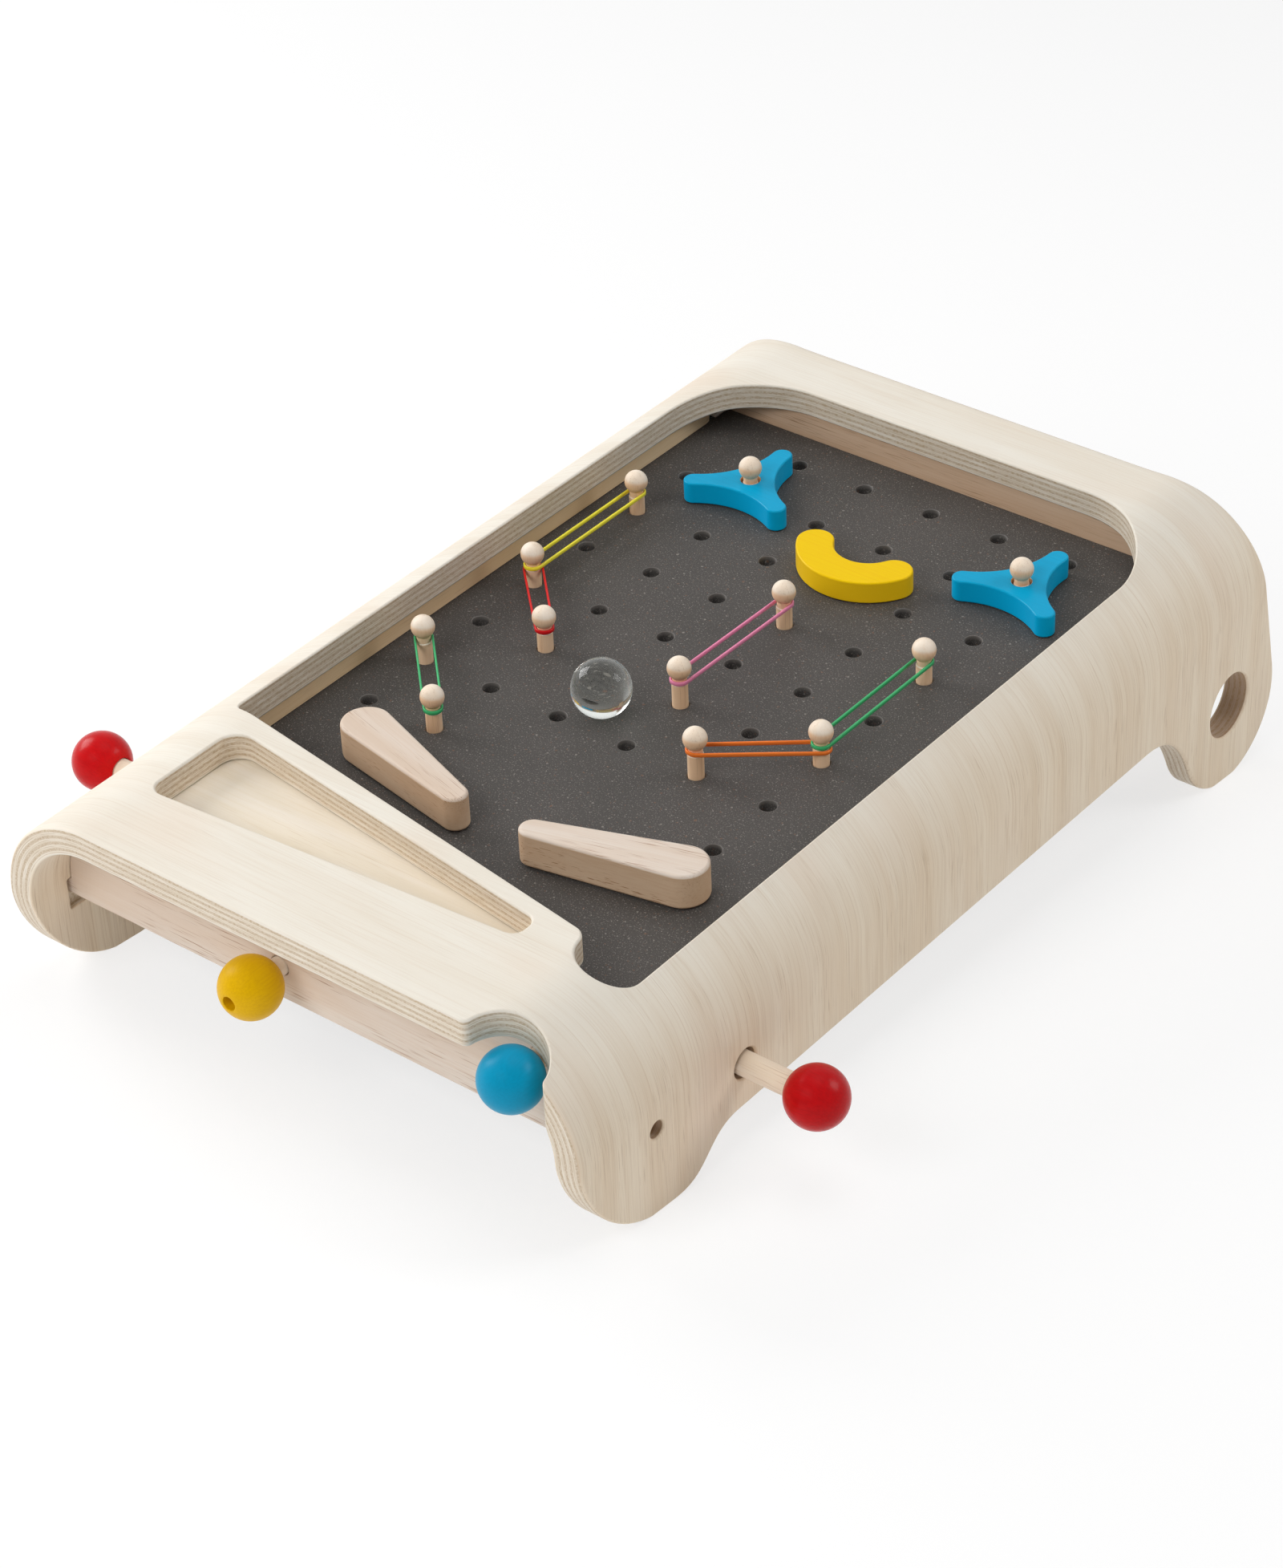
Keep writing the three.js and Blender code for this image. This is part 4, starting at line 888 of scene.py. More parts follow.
# Play board
# Dark through-dyed fibreboard, drilled in six columns and eight rows. The rim of each hole is eased, and a round
# groove at the right front guides the plunger's head.
BOARD = 9
BOARD_BACK = 422.4
HOLE_PITCH = 35
HOLE_COLUMNS = 6
HOLE_ROWS = 8
FIRST_COLUMN_X = -92.2
FIRST_ROW_Y = 401.4
PEG_HOLE_RADIUS = 3.65
PIVOT_RADIUS = 4
PIVOTS = {"left": (-66.75, LEFT), "right": (90.95, RIGHT)}
PIVOT_Y = 127.8
GROOVE_RADIUS = 5.8
GROOVE_END = 49.8
GROOVE_STEP = 0.02
BOARD_ARRIS = 0.3
HOLE_ARRIS = 0.55
NO_HOLES = ("c1_r1", "c3_r8", "c4_r8", "c5_r8")


def hole_place(name):
    """The place of a hole named by its column from the left and its row from the back."""
    column, row = (int(part[1:]) for part in name.split("_"))
    return FIRST_COLUMN_X + (column - 1) * HOLE_PITCH, FIRST_ROW_Y - (row - 1) * HOLE_PITCH


def board_place(flat, depth):
    """The board is level but for the groove, whose floor lies lower and leaves less wood below it."""
    aside = np.clip(np.abs(flat[:, 0] - PLUNGER_X), 0, GROOVE_RADIUS)
    groove = np.maximum(np.sqrt(GROOVE_RADIUS ** 2 - aside ** 2) - PLUNGER_Z, 0) * (flat[:, 1] < GROOVE_END)
    return np.insert(flat, 2, -groove - depth * (1 - groove / BOARD), axis=1)


def board_material():
    """Dark board with many pale flecks and a few brown ones. The chamfers and upper walls of its holes are painted
    lighter, as painted light.
    """
    material, tree = new_material("dyed_fibreboard")
    place = grouped(tree, "place_on_board")["Place"]
    fine = noise(place, 2.6)
    base = mix(ramp(noise(place, 0.02, 3), 0.3, 0.7), "504d4a", "575350")
    base = mix(ramp(fine, 0.35, 0.7), base, "403d3b")
    base = mix(ramp(noise(place, 0.6, 1), 0.68, 0.75) * 0.6, base, "7b5a48")
    small_flecks, large_flecks = ramp(noise(place, 1.5, 1), 0.6, 0.7), ramp(noise(place, 0.7, 0), 0.76, 0.8)
    base = mix(calc("MAXIMUM", small_flecks * 0.36, large_flecks * 0.45), base, "a8a199")
    height = split(place)["Z"]
    # The chamfers and top 2.5 mm of the hole walls are painted lighter: painted light in the holes.
    painted_light_rim = calc("LESS_THAN", height, -0.06) * ramp(height, -2.5, -0.7)
    dress(tree, mix(painted_light_rim * 0.8, base, "74706c"), fine, relief=0.05, roughness=0.55, gloss=0.2)
    return material


board_half = bend_start + sqrt(bend_face ** 2 - bend_z ** 2)
hole_names = [f"c{column}_r{row}" for row in range(1, HOLE_ROWS + 1) for column in range(1, HOLE_COLUMNS + 1)]
board_cuts = [
    block(-board_half, board_half, rail_back, BOARD_BACK, spacing=1.0),
    *(hole(*hole_place(name), PEG_HOLE_RADIUS, 0.55) for name in hole_names if name not in NO_HOLES),
    *(hole(x, PIVOT_Y, PIVOT_RADIUS + GAP, 0.7) for x, _ in PIVOTS.values()),
]
groove_columns = PLUNGER_X + GROOVE_RADIUS * np.linspace(-1, 1, 15)
groove_rows = (35.5, 42, GROOVE_END - GROOVE_STEP, GROOVE_END + GROOVE_STEP)
routed(
    "play_board", "drilled_board", board_cuts, board_place, BOARD, board_material(),
    arris=[BOARD_ARRIS] + [HOLE_ARRIS] * (len(board_cuts) - 1), back_arris=BOARD_ARRIS,
    grid=np.array([(x, y) for y in groove_rows for x in groove_columns]),
)

# Linings of the left bend
# A pale strip fills the hollow of the bend along the field's left side, so that the marble meets an upright wall. It
# ends in a round, and a small block of rubberwood fills the corner behind it.
STRIP_FACE = 111.7
STRIP_START = 40
STRIP_END = 412
STRIP_ROUND = 6
STRIP_TRIM = 0.2
LINING_DEPTH = 10
LINING_ARRIS = 0.15
BACKWARD = (0, 1, 0)
lining_top = bend_z + sqrt(bend_face ** 2 - (STRIP_FACE - bend_start) ** 2)


def lining_place(end_round):
    """Upright towards the field, with its back fitted to the bend, and its far end turned away by a round."""
    def place(flat, depth):
        past = np.clip(flat[:, 0] - (STRIP_END - end_round), 0, end_round)
        face = STRIP_FACE + end_round - np.sqrt(end_round ** 2 - past ** 2)
        rise = np.clip(flat[:, 1] - bend_z, 0, bend_face)
        back = np.maximum(bend_start + np.sqrt(bend_face ** 2 - rise ** 2), face + 0.05)
        return np.insert(flat, 0, -face - (back - face) * depth / LINING_DEPTH, axis=1)
    return place


# The lining's upright faces are painted browner, as painted shade.
lining_wood = wood_material("lining_wood", "f6e4ca", "ebd2ac", "b28f6a", side="fcf0de")
end_grid = [(y, z) for y in np.linspace(STRIP_END - STRIP_ROUND, STRIP_END - 0.5, 9) for z in (2, 4, 6)]
for node, name, start, end, end_round, material, grid in (
    ("left_lining", "left_strip", STRIP_START, STRIP_END - STRIP_TRIM, STRIP_ROUND, lining_wood, np.array(end_grid)),
    ("left_corner_block", "corner_filling", STRIP_END + GAP, BOARD_BACK - GAP, 0, rubberwood, NO_POINTS),
):
    routed(
        node, name, [block(start, end, GAP, lining_top, 0.4)], lining_place(end_round), LINING_DEPTH, material,
        LINING_ARRIS, grid=grid, fibre=BACKWARD,
    )

# Cleats and rod guides
# Pale cleats under the board's edges carry it, and under each one a block of rubberwood, bored right through, guides
# a push rod. They are glued to each other and to the walls.
CLEAT_FACE = 114
CLEAT_HEIGHT = 12
CLEAT_SPACE = 3
GUIDE_LENGTH = 12
GUIDE_WIDTH = 24
GUIDE_LOW = -46
ROD_RADIUS = 5
BLOCK_ARRIS = 0.5
cleat_top = -BOARD - GAP
cleat_outer = bend_start + sqrt(bend_face ** 2 - (cleat_top - bend_z) ** 2)
guide_top = cleat_top - CLEAT_HEIGHT - GAP
pale_wood = wood_material("pale_dowel_wood", "f6e9da", "ecd8be", "b28f6a")
for side, (_, sign) in PIVOTS.items():
    cleat_sides = sorted((sign * CLEAT_FACE, sign * cleat_outer))
    cleat = block(*cleat_sides, rail_back + CLEAT_SPACE - GAP, BOARD_BACK - CLEAT_SPACE)
    routed(
        f"board_cleat_{side}", f"{side}_board_cleat", [cleat],
        slab(2, cleat_top), CLEAT_HEIGHT, pale_wood, BLOCK_ARRIS, fibre=BACKWARD,
    )
    guide = block(ROD_Y - GUIDE_WIDTH / 2, ROD_Y + GUIDE_WIDTH / 2, GUIDE_LOW, guide_top)
    guide_face = max(sign * CLEAT_FACE, sign * (CLEAT_FACE + GUIDE_LENGTH))
    routed(
        f"rod_guide_{side}", f"{side}_guide_block", [guide, hole(ROD_Y, -ROD_DEPTH, ROD_RADIUS + GAP, 0.8)],
        slab(0, guide_face), GUIDE_LENGTH, rubberwood, BLOCK_ARRIS, fibre=BACKWARD,
    )

# Flippers, pivots and cranks
# Each flipper is a block of rubberwood with all its arrises rounded, pressed on a dowel that goes through the board.
# A crank on the dowel's lower end is what the push rod bears on.
FLIPPER_LENGTH = 61.3
FLIPPER_ROOT = 10.5
FLIPPER_TIP = 5.7
FLIPPER_THICKNESS = 15.5
FLIPPER_LIFT = 0.6
FLIPPER_ARRIS = 1.5
FLIPPER_DROOP = radians(15.4)
PIVOT_SEAT = 10
CRANK_LENGTH = 32.7
CRANK_HUB = 8
CRANK_ARM = 3.5
CRANK_NOSE = 5
CRANK_THICKNESS = 9
CRANK_SWING = radians(15)
LATHE_SIDES = 48
UP = (0, 0, 1)
crank_top = CRANK_THICKNESS / 2 - ROD_DEPTH


def two_rounds(root, tip, length, root_open, tip_open):
    """A round hub and a round tip, each open by an angle on either side, and the lines between them."""
    hub = arc((0, 0), root, root_open, TURN - root_open, 1.0)
    return closed_round([hub, arc((length, 0), tip, tip_open - HALF, HALF - tip_open, 0.8)])


def tapered_outline(root, tip, length):
    """Two rounds and the lines that touch both, as a flipper or a stretched band is shaped."""
    spread = acos((root - tip) / length)
    return two_rounds(root, tip, length, spread, HALF - spread)


def laid(outline, angle, x=0, y=0):
    """An outline turned about its own start and moved to its place."""
    return outline @ np.array([(cos(angle), sin(angle)), (-sin(angle), cos(angle))]) + (x, y)


def turned(node, name, path, at, axis, material, sides=LATHE_SIDES, closed=False):
    """A piece turned on a lathe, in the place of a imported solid. Its path holds radius and length along the axis,
    and goes up its outer side."""
    first = Vector(axis).orthogonal().normalized()
    second = Vector(axis).cross(first)
    angles = np.linspace(0, TURN, sides, endpoint=False)
    spokes = np.outer(np.cos(angles), first) + np.outer(np.sin(angles), second)
    ways = np.roll(path, -1, 0) - np.roll(path, 1, 0) if closed else np.gradient(path, axis=0)
    surface, rows = Surface(), []
    for (radius, length), (out, along_axis) in zip(path, ways):
        pole = radius < TINY
        around = spokes[:1] * 0 if pole else spokes
        place = np.array(at) + around * radius + np.array(axis) * length
        row = surface.add(place, around * along_axis - np.array(axis) * out)
        rows.append(np.repeat(row, sides) if pole else row)
    for row, following in zip(rows, rows[1:] + rows[:1] if closed else rows[1:]):
        surface.band(following, row)
    return surface.build(node, name, material, axis)


def rod_path(radius, start, end, chamfer=0.5):
    return rounded_path([(0, start), (radius, start, chamfer), (radius, end, chamfer), (0, end)], 6.0, 4)


# The flippers' upright faces are painted browner, as painted shade.
flipper_wood = wood_material("flipper_wood", "e4d8cc", "d7c0ab", "a57a5c", pores=0.8, side="f9e6cf")
tapered_flipper = tapered_outline(FLIPPER_ROOT, FLIPPER_TIP, FLIPPER_LENGTH)
arm_opens = [asin(CRANK_ARM / radius) for radius in (CRANK_HUB, CRANK_NOSE)]
crank_outline = two_rounds(CRANK_HUB, CRANK_NOSE, CRANK_LENGTH, *arm_opens)
for side, (pivot_x, sign) in PIVOTS.items():
    bore = hole(pivot_x, PIVOT_Y, PIVOT_RADIUS + GAP, 0.7)
    droop = -FLIPPER_DROOP if sign == LEFT else HALF + FLIPPER_DROOP
    routed(
        f"flipper_{side}", f"{side}_rounded_flipper", [laid(tapered_flipper, droop, pivot_x, PIVOT_Y)],
        slab(2, FLIPPER_LIFT + FLIPPER_THICKNESS), FLIPPER_THICKNESS, flipper_wood, FLIPPER_ARRIS,
        pits=[(bore, PIVOT_SEAT + GAP - FLIPPER_LIFT)], fibre=(cos(droop), sin(droop), 0),
    )
    pivot_path = rod_path(PIVOT_RADIUS, crank_top - CRANK_THICKNESS, PIVOT_SEAT)
    turned(f"flipper_pivot_{side}", f"{side}_pivot_dowel", pivot_path, (pivot_x, PIVOT_Y, 0), UP, pale_wood)
    swing = sign * CRANK_SWING - QUARTER
    routed(
        f"flipper_crank_{side}", f"{side}_crank_lever", [laid(crank_outline, swing, pivot_x, PIVOT_Y), bore],
        slab(2, crank_top), CRANK_THICKNESS, rubberwood, BLOCK_ARRIS, fibre=(cos(swing), sin(swing), 0),
    )

# Push rods, collars and red knobs
# A pale dowel goes through each wall. A collar glued on it stops it at the guide, and a ball, bored for the dowel and
# lacquered red, is glued on its outer end.
KNOB_RADIUS = 12.7
KNOB_SEAT = 12
COLLAR_RADIUS = 8.5
COLLAR_THICKNESS = 5
KNOB_X = {"left": -189.5, "right": 175.5}
DOWEL_END = 0.6
BORE_EDGE = 0.3
BORE_MOUTH = 0.5
BALL_SIDES = 64
BALL_STEPS = 35
seat = KNOB_RADIUS - KNOB_SEAT - GAP
nose_out = CRANK_LENGTH * sin(CRANK_SWING)


def ring_path(inner, outer, start, end, ease_radius, steps=4):
    return rounded_outline([
        (inner, start, BORE_EDGE), (outer, start, ease_radius), (outer, end, ease_radius), (inner, end, BORE_EDGE),
    ], 3.0, steps)


def knob_path(bore):
    """A ball bored to its seat from its upper end. The mouth of the bore is eased."""
    ball = arc((0, 0), KNOB_RADIUS, -QUARTER, acos((bore + BORE_MOUTH) / KNOB_RADIUS), steps=BALL_STEPS)
    ball[0, 0] = 0
    mouth = (bore, ball[-1][1] - BORE_EDGE, BORE_EDGE)
    return np.concatenate([ball, rounded_path([ball[-1], mouth, (bore, seat, BORE_EDGE), (0, seat)], 4.0, 3)[1:]])


def paint_material(
    name, code, dark_code, roughness, fibres=0.3, ripple=0.03, side=None, bare_holes=(), bare_reach=0,
):
    """Satin paint on wood, through which the fibres show a little. Its upright faces can take a lighter side colour,
    as painted light. The walls of some holes are bare.
    """
    material, tree = new_material(name)
    place, grain = own_grain(tree)
    base = mix(ramp(grain["Fibres"], 0.35, 0.7) * fibres, code, dark_code)
    # The side colour on upright faces is painted light.
    if side:
        base = mix(upright_painted_light_share(tree), base, side)
    board = grouped(tree, "place_on_board")["Place"]
    for x, y in bare_holes:
        base = mix(calc("LESS_THAN", reach_from(board, (x, y, 0), (1, 1, 0)), bare_reach), base, "cfa67f")
    dress(tree, base, grain["Fibres"] * 0.5 + noise(place, 0.35), ripple, 0.8, roughness, gloss=0.14)
    return material


red_paint = paint_material("red_lacquer", "c4060d", "a00309", 0.26, ripple=0.1)
collar_end = CLEAT_FACE - GAP
collar_path = ring_path(ROD_RADIUS + GAP, COLLAR_RADIUS, collar_end - COLLAR_THICKNESS, collar_end, 0.6, 3)
red_ball = knob_path(ROD_RADIUS + GAP)
for side, (pivot_x, sign) in PIVOTS.items():
    knob_x = KNOB_X[side]
    rod_start = abs(pivot_x + sign * nose_out) + CRANK_NOSE + GAP
    rod = rod_path(ROD_RADIUS, rod_start, abs(knob_x) - KNOB_RADIUS + KNOB_SEAT, DOWEL_END)
    rod_at, knob_at = ((x, ROD_Y, -ROD_DEPTH) for x in (0, knob_x))
    out, back = (sign, 0, 0), (-sign, 0, 0)
    turned(f"push_rod_{side}", f"{side}_push_dowel", rod, rod_at, out, pale_wood)
    turned(f"rod_collar_{side}", f"{side}_stop_collar", collar_path, rod_at, out, pale_wood, closed=True)
    turned(f"push_knob_{side}", f"{side}_red_ball", red_ball, knob_at, back, red_paint, BALL_SIDES)

# Plunger and front pull
# The blue ball is glued on a dowel through the front rail, whose round head pushes the marble up the right lane. The
# yellow ball's dowel ends in a collar below the board. It is bored right through, and its dowel shows in the bore.
KNOB_Y = 5
PLUNGER_END = 49.5
PLUNGER_HEAD_RADIUS = 5.5
PLUNGER_HEAD = 3
PULL_END = 66
PULL_COLLAR_RADIUS = 6.5
PULL_BORE_RADIUS = 3
PULL_BORE_MOUTH = 0.4
PULL_BORE_EDGE = 0.2


def bored_ball_path():
    """A ball with a wide bore from behind that meets a narrow one from the front."""
    front_mouth = -acos((PULL_BORE_RADIUS + PULL_BORE_MOUTH) / KNOB_RADIUS)
    back_mouth = acos((dowel_bore + BORE_MOUTH) / KNOB_RADIUS)
    ball = arc((0, 0), KNOB_RADIUS, front_mouth, back_mouth, steps=BALL_STEPS)
    bores = [
        ball[-1],
        (dowel_bore, ball[-1][1] - BORE_EDGE, BORE_EDGE),
        (dowel_bore, seat, PULL_BORE_EDGE),
        (PULL_BORE_RADIUS, seat, PULL_BORE_EDGE),
        (PULL_BORE_RADIUS, ball[0][1] + BORE_EDGE, PULL_BORE_EDGE),
        ball[0],
    ]
    return np.concatenate([ball, rounded_path(bores, 3.0, 3)[1:-1]])


yellow_stain = paint_material("deep_yellow_stain", "e8b700", "d69c00", 0.4, fibres=0.35)
# The blue ball's paint is a darker copy of the spinners' blue, as painted shade under the finger notch.
ball_blue_paint = paint_material("ball_blue_paint", "0095bd", "0086ab", 0.36)
for word, x, z, end, stop, ring_name, ring_sizes, ball_name, ball_path, paint, bored in (
    ("plunger", PLUNGER_X, PLUNGER_Z, PLUNGER_END, "plunger_head", "plunger_ring",
     (PLUNGER_HEAD_RADIUS, PLUNGER_HEAD, 0.4), "blue_ball", knob_path(dowel_bore), ball_blue_paint, False),
    ("pull", PULL_X, PULL_Z, PULL_END, "pull_collar", "pull_stop",
     (PULL_COLLAR_RADIUS, COLLAR_THICKNESS, 0.5), "yellow_ball", bored_ball_path(), yellow_stain, True),
):
    dowel = rod_path(DOWEL_RADIUS, KNOB_Y + KNOB_RADIUS - KNOB_SEAT, end)
    turned(word + "_rod", word + "_dowel", dowel, (x, 0, z), BACKWARD, pale_wood)
    ring_radius, ring_length, ring_ease = ring_sizes
    ring = ring_path(dowel_bore, ring_radius, end - ring_length, end, ring_ease)
    turned(stop, ring_name, ring, (x, 0, z), BACKWARD, pale_wood, closed=True)
    turned(word + "_knob", ball_name, ball_path, (x, KNOB_Y, z), BACKWARD, paint, BALL_SIDES, bored)

# Pegs
# All the pegs are alike: a round head, a narrow neck that holds a band, and a shaft with a chamfered end. They are
# turned from pale wood and pushed into holes of the board to different depths.
PEG_RADIUS = 3.35
NECK_RADIUS = 3
HEAD_RADIUS = 5
PEG_LENGTH = 23
PEG_CHAMFER = 0.7
PEG_EASE = 0.3
NECK_DROP = 6.7
NECK_SLOPE = 0.4
NECK_EASE = 0.25
HEAD_SPACE = 0.1
HEAD_START = 0.08
# Height of the middle of each head
PEG_HEADS = {
    "c1_r3": 14.7, "c1_r5": 14.7, "c2_r6": 15.2, "c1_r7": 16.2, "c2_r8": 15.2, "c4_r6": 17.4,
    "c4_r4": 16.2, "c5_r7": 17.4, "c6_r6": 14.7, "c6_r4": 14.7, "c2_r2": 16.2, "c6_r2": 16.2,
}


def peg_path():
    neck = -acos(NECK_RADIUS / HEAD_RADIUS)
    head = arc((0, 0), HEAD_RADIUS, neck + HEAD_START, QUARTER, steps=23)
    head[-1, 0] = 0
    shaft = rounded_path([
        (0, -PEG_LENGTH),
        (PEG_RADIUS - PEG_CHAMFER, -PEG_LENGTH, PEG_EASE),
        (PEG_RADIUS, PEG_CHAMFER - PEG_LENGTH, PEG_EASE),
        (PEG_RADIUS, -NECK_DROP - NECK_SLOPE, NECK_EASE),
        (NECK_RADIUS, -NECK_DROP, NECK_EASE),
        (NECK_RADIUS, HEAD_RADIUS * sin(neck) - HEAD_SPACE, NECK_EASE),
        head[0],
    ], 4.0, 3)
    return np.concatenate([shaft[:-1], head])


def growing_tree(name, inputs):
    """A geometry tree that takes points or paths and some named sizes."""
    inputs = {"Geometry": "Geometry", **inputs, "Material": "Material"}
    return new_tree(name, "GeometryNodeTree", inputs, {"Geometry": "Geometry"})


def end_tree(geometry, material):
    real = add(geometry.tree, "GeometryNodeRealizeInstances", {"Geometry": geometry})
    dressed = add(geometry.tree, "GeometryNodeSetMaterial", {"Geometry": real, "Material": material})
    add(geometry.tree, "NodeGroupOutput", {"Geometry": dressed})


def grown(name, tree, points, edges, values, fibre):
    """What the tree makes of these points, as a plain mesh in its place."""
    host = put(name, bpy.data.meshes.new(name))
    host.data.from_pydata([tuple(point) for point in points], edges, [])
    growth = host.modifiers.new(name, "NODES")
    growth.node_group = tree
    for item in tree.interface.items_tree:
        if item.in_out == "INPUT" and item.name in values:
            growth[item.identifier] = values[item.name]
    made = bpy.data.meshes.new_from_object(host.evaluated_get(bpy.context.evaluated_depsgraph_get()))
    bpy.data.objects.remove(host)
    return finished(name, made, values["Material"], fibre)


peg_inputs = {"Turned peg": "Object", "Turn": "Float", "Seed": "Int"}
peg_tree, entry = growing_tree("pegs_in_holes", peg_inputs)
most = add(peg_tree, "ShaderNodeCombineXYZ", {"Z": entry["Turn"]})
draw = {1: most, "Seed": entry["Seed"]}
turn = add(peg_tree, "FunctionNodeRandomValue", draw, data_type="FLOAT_VECTOR")
peg_shape = add(peg_tree, "GeometryNodeObjectInfo", {"Object": entry["Turned peg"]}, "Geometry")
peg_set = {"Points": entry["Geometry"], "Instance": peg_shape, "Rotation": turn}
end_tree(add(peg_tree, "GeometryNodeInstanceOnPoints", peg_set), entry["Material"])

# The pegs' shafts and the sides of their heads are painted browner, as painted shade.
peg_wood = wood_material("peg_wood", "fdf0e0", "f2dcc2", "bb9778", 0.7, 0.35, 0.3, "fde6cf")
pattern_piece = turned(None, "turned_peg", peg_path(), (0, 0, 0), UP, peg_wood, 40)
pattern_piece.data.transform(board_matrix.inverted())
bodies_with_pegs = {}
for peg in PEG_HEADS:
    bodies_with_pegs.setdefault(body_of["peg_" + peg], []).append(peg)
for number, (body, pegs) in enumerate(bodies_with_pegs.items()):
    places = [(*hole_place(peg), PEG_HEADS[peg]) for peg in pegs]
    values = {"Turned peg": pattern_piece, "Turn": TURN, "Seed": number, "Material": peg_wood}
    stand_for(["peg_" + peg for peg in pegs], grown(body + "_turned", peg_tree, places, [], values, UP))
bpy.data.objects.remove(pattern_piece)

# Rubber bands
# Flat loops of coloured rubber, stretched between two pegs. Each lies in the groove under a head, or on the shaft
# just below another band.
BAND_HEIGHT = 1.8
BAND_THICKNESS = 0.9
BAND_CORNER = 0.25
BAND_DROP = 5.5
BAND_SPACE = 2.1
BAND_CLEAR = 0.2
# Name, its two pegs with 1 where it lies below another band, and rubber
BANDS = (
    ("band_yellow", ("c1_r3", 0), ("c1_r5", 0), "yellow"),
    ("band_red", ("c1_r5", 1), ("c2_r6", 0), "red"),
    ("band_green_left", ("c1_r7", 0), ("c2_r8", 0), "green"),
    ("band_pink", ("c4_r4", 0), ("c4_r6", 0), "pink"),
    ("band_green_right", ("c6_r4", 0), ("c6_r6", 0), "green"),
    ("band_orange", ("c6_r6", 1), ("c5_r7", 0), "orange"),
)
RUBBERS = {"yellow": "fff246", "red": "dc181c", "green": "42b673", "pink": "f28fb4", "orange": "fb8233"}

band_inputs = {"Height": "Float", "Thickness": "Float", "Corner": "Float"}
band_tree, entry = growing_tree("stretched_band", band_inputs)
path = add(band_tree, "GeometryNodeMeshToCurve", {"Mesh": entry["Geometry"]})
path = add(band_tree, "GeometryNodeSetCurveNormal", {"Curve": path}, mode="Z_UP")
section = {"Width": entry["Thickness"], "Height": entry["Height"]}
section = add(band_tree, "GeometryNodeCurvePrimitiveQuadrilateral", section)
section = add(band_tree, "GeometryNodeFilletCurve", {"Curve": section, "Radius": entry["Corner"]})
swept = add(band_tree, "GeometryNodeCurveToMesh", {"Curve": path, "Profile Curve": section})
end_tree(swept, entry["Material"])

rubbers = {}
for shade, code in RUBBERS.items():
    rubbers[shade], tree = new_material(shade + "_rubber")
    rubber = {"Base Color": colour(code), "Roughness": 0.36, "Specular IOR Level": 0.25}
    set_inputs(tree.nodes["Principled BSDF"], rubber)
for name, *held, shade in BANDS:
    ends = [Vector((*hole_place(peg), PEG_HEADS[peg] - BAND_DROP - below * BAND_SPACE)) for peg, below in held]
    radii = [(PEG_RADIUS if below else NECK_RADIUS) + BAND_THICKNESS / 2 + BAND_CLEAR for _, below in held]
    run = ends[1] - ends[0]
    forward = run.normalized()
    aside = Vector(UP).cross(forward).normalized()
    points = [ends[0] + forward * x + aside * y for x, y in tapered_outline(*radii, run.length)]
    edges = [(i, (i + 1) % len(points)) for i in range(len(points))]
    sizes = {"Height": BAND_HEIGHT, "Thickness": BAND_THICKNESS, "Corner": BAND_CORNER}
    values = {**sizes, "Material": rubbers[shade]}
    stand_for([name], grown(name + "_stretched", band_tree, points, edges, values, ACROSS))

# Spinners
# Three-armed blue pieces that turn freely on their pegs. Their arrises are rounded, and the bare wood of the hole's
# rim shows round the peg.
SPINNER_REACH = 24.5
SPINNER_TIP = 4.5
SPINNER_WAIST = 10.7
SPINNER_HOLE = 4.2
SPINNER_ARMS = 3
BARE_RIM = 0.25
TOY_THICKNESS = 10
TOY_ARRIS = 0.8
SPINNERS = (("spinner_left", "c2_r2", 93), ("spinner_right", "c6_r2", 86))
toy_top = GAP + TOY_THICKNESS


def spinner_outline():
    """Round tips, and between them hollows that touch both tips."""
    thin = SPINNER_WAIST - SPINNER_TIP
    hollow_at = (SPINNER_REACH ** 2 - thin ** 2) / (SPINNER_REACH - 2 * thin)
    sector = TURN / SPINNER_ARMS
    tip, next_tip = (SPINNER_REACH * np.array([cos(angle), sin(angle)]) for angle in (0, sector))
    hollow = hollow_at * np.array([cos(sector / 2), sin(sector / 2)])
    touch, first, last = (atan2(*way[::-1]) for way in (hollow - tip, tip - hollow, next_tip - hollow))
    arm = [
        arc(tip, SPINNER_TIP, -touch, touch, 0.7),
        arc(hollow, hollow_at - SPINNER_WAIST, first, first - (first - last) % TURN, 1.5),
    ]
    return closed_round([laid(part, number * sector) for number in range(SPINNER_ARMS) for part in arm])


# The spinners' upright faces are painted a lighter blue, as painted light.
spinner_paint = paint_material(
    "spinner_paint", "00a4d0", "0093bf", 0.3, side="00b2e8",
    bare_holes=[hole_place(peg) for _, peg, _ in SPINNERS], bare_reach=SPINNER_HOLE + BARE_RIM,
)
for name, peg, angle in SPINNERS:
    at = hole_place(peg)
    routed(
        name, name + "_rounded", [laid(spinner_outline(), radians(angle), *at), hole(*at, SPINNER_HOLE, 0.6)],
        slab(2, toy_top), TOY_THICKNESS, spinner_paint, [TOY_ARRIS, TOY_ARRIS / 2],
    )

# Fixed arc
# A curved yellow block with round ends, held on the board by a short pin in one of its holes.
ARC_CENTRE = (14.5, 354.1)
ARC_RADIUS = 23
ARC_HALF = 8
ARC_START = radians(206)
ARC_END = radians(332)
ARC_PIN_HOLE = "c4_r3"
ARC_PIN_SEAT = 6
ARC_PIN_DEPTH = 8

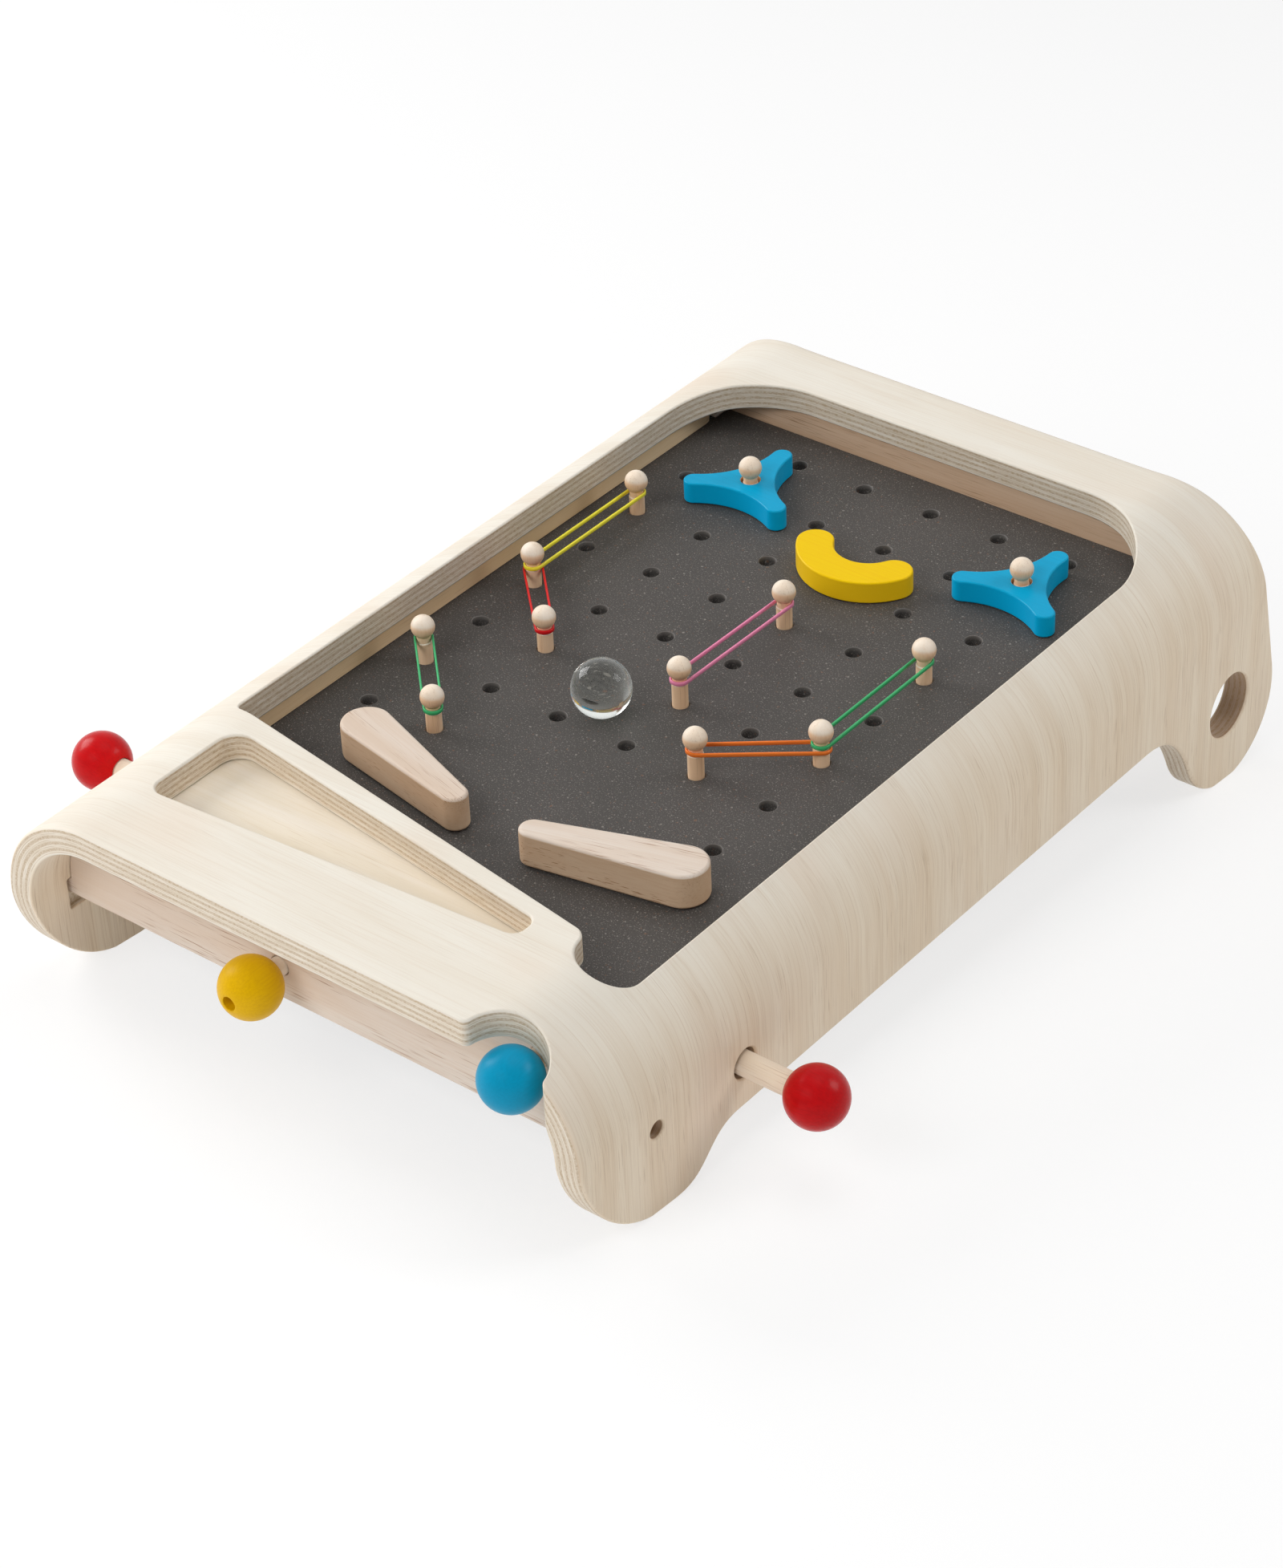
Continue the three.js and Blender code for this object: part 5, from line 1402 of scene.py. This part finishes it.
start_cap, end_cap = (ARC_RADIUS * np.array([cos(angle), sin(angle)]) for angle in (ARC_START, ARC_END))
arc_outline = closed_round([
    arc((0, 0), ARC_RADIUS + ARC_HALF, ARC_START, ARC_END, 1.0),
    arc(end_cap, ARC_HALF, ARC_END, ARC_END + HALF, 0.8),
    arc((0, 0), ARC_RADIUS - ARC_HALF, ARC_END, ARC_START, 1.0),
    arc(start_cap, ARC_HALF, ARC_START + HALF, ARC_START + TURN, 0.8),
]) + ARC_CENTRE
# The arc's upright faces are painted a lighter yellow, as painted light.
yellow_paint = paint_material("yellow_paint", "f4cb00", "efb900", 0.36, side="ffd018")
pin_place = hole_place(ARC_PIN_HOLE)
routed(
    "arc_block", "yellow_arc", [arc_outline], slab(2, toy_top), TOY_THICKNESS, yellow_paint, TOY_ARRIS,
    pits=[(hole(*pin_place, PEG_RADIUS + GAP, 0.6), ARC_PIN_SEAT)],
)
turned("arc_pin", "arc_dowel", rod_path(PEG_RADIUS, -ARC_PIN_DEPTH, ARC_PIN_SEAT), (*pin_place, 0), UP, pale_wood, 32)

# Marble
# A clear glass marble, which rests on the board and rolls freely. The board below it is lit through it evenly.
clear_glass, tree = new_material("clear_glass")
glass = tree.nodes["Principled BSDF"]
set_inputs(glass, {
    "Base Color": (0.84, 0.87, 0.84, 1),
    "Roughness": 0,
    "IOR": 1.5,
    "Specular Tint": (0.3, 0.3, 0.3, 1),
    "Transmission Weight": 1,
})
ray = add(tree, "ShaderNodeLightPath", out=None)
clear = add(tree, "ShaderNodeBsdfTransparent", {"Color": (0.64, 0.67, 0.65, 1)})
unseen = calc("MAXIMUM", ray["Is Shadow Ray"], ray["Is Diffuse Ray"])
lit_glass = add(tree, "ShaderNodeMixShader", {0: unseen, 1: Flow(glass.outputs[0]), 2: clear})
set_inputs(tree.nodes["Material Output"], {"Surface": lit_glass})
marble_path = arc((0, 0), MARBLE_RADIUS, -QUARTER, QUARTER, steps=63)
marble_path[[0, -1], 0] = 0
turned("marble", "glass_marble", marble_path, MARBLE_AT, UP, clear_glass, 96)
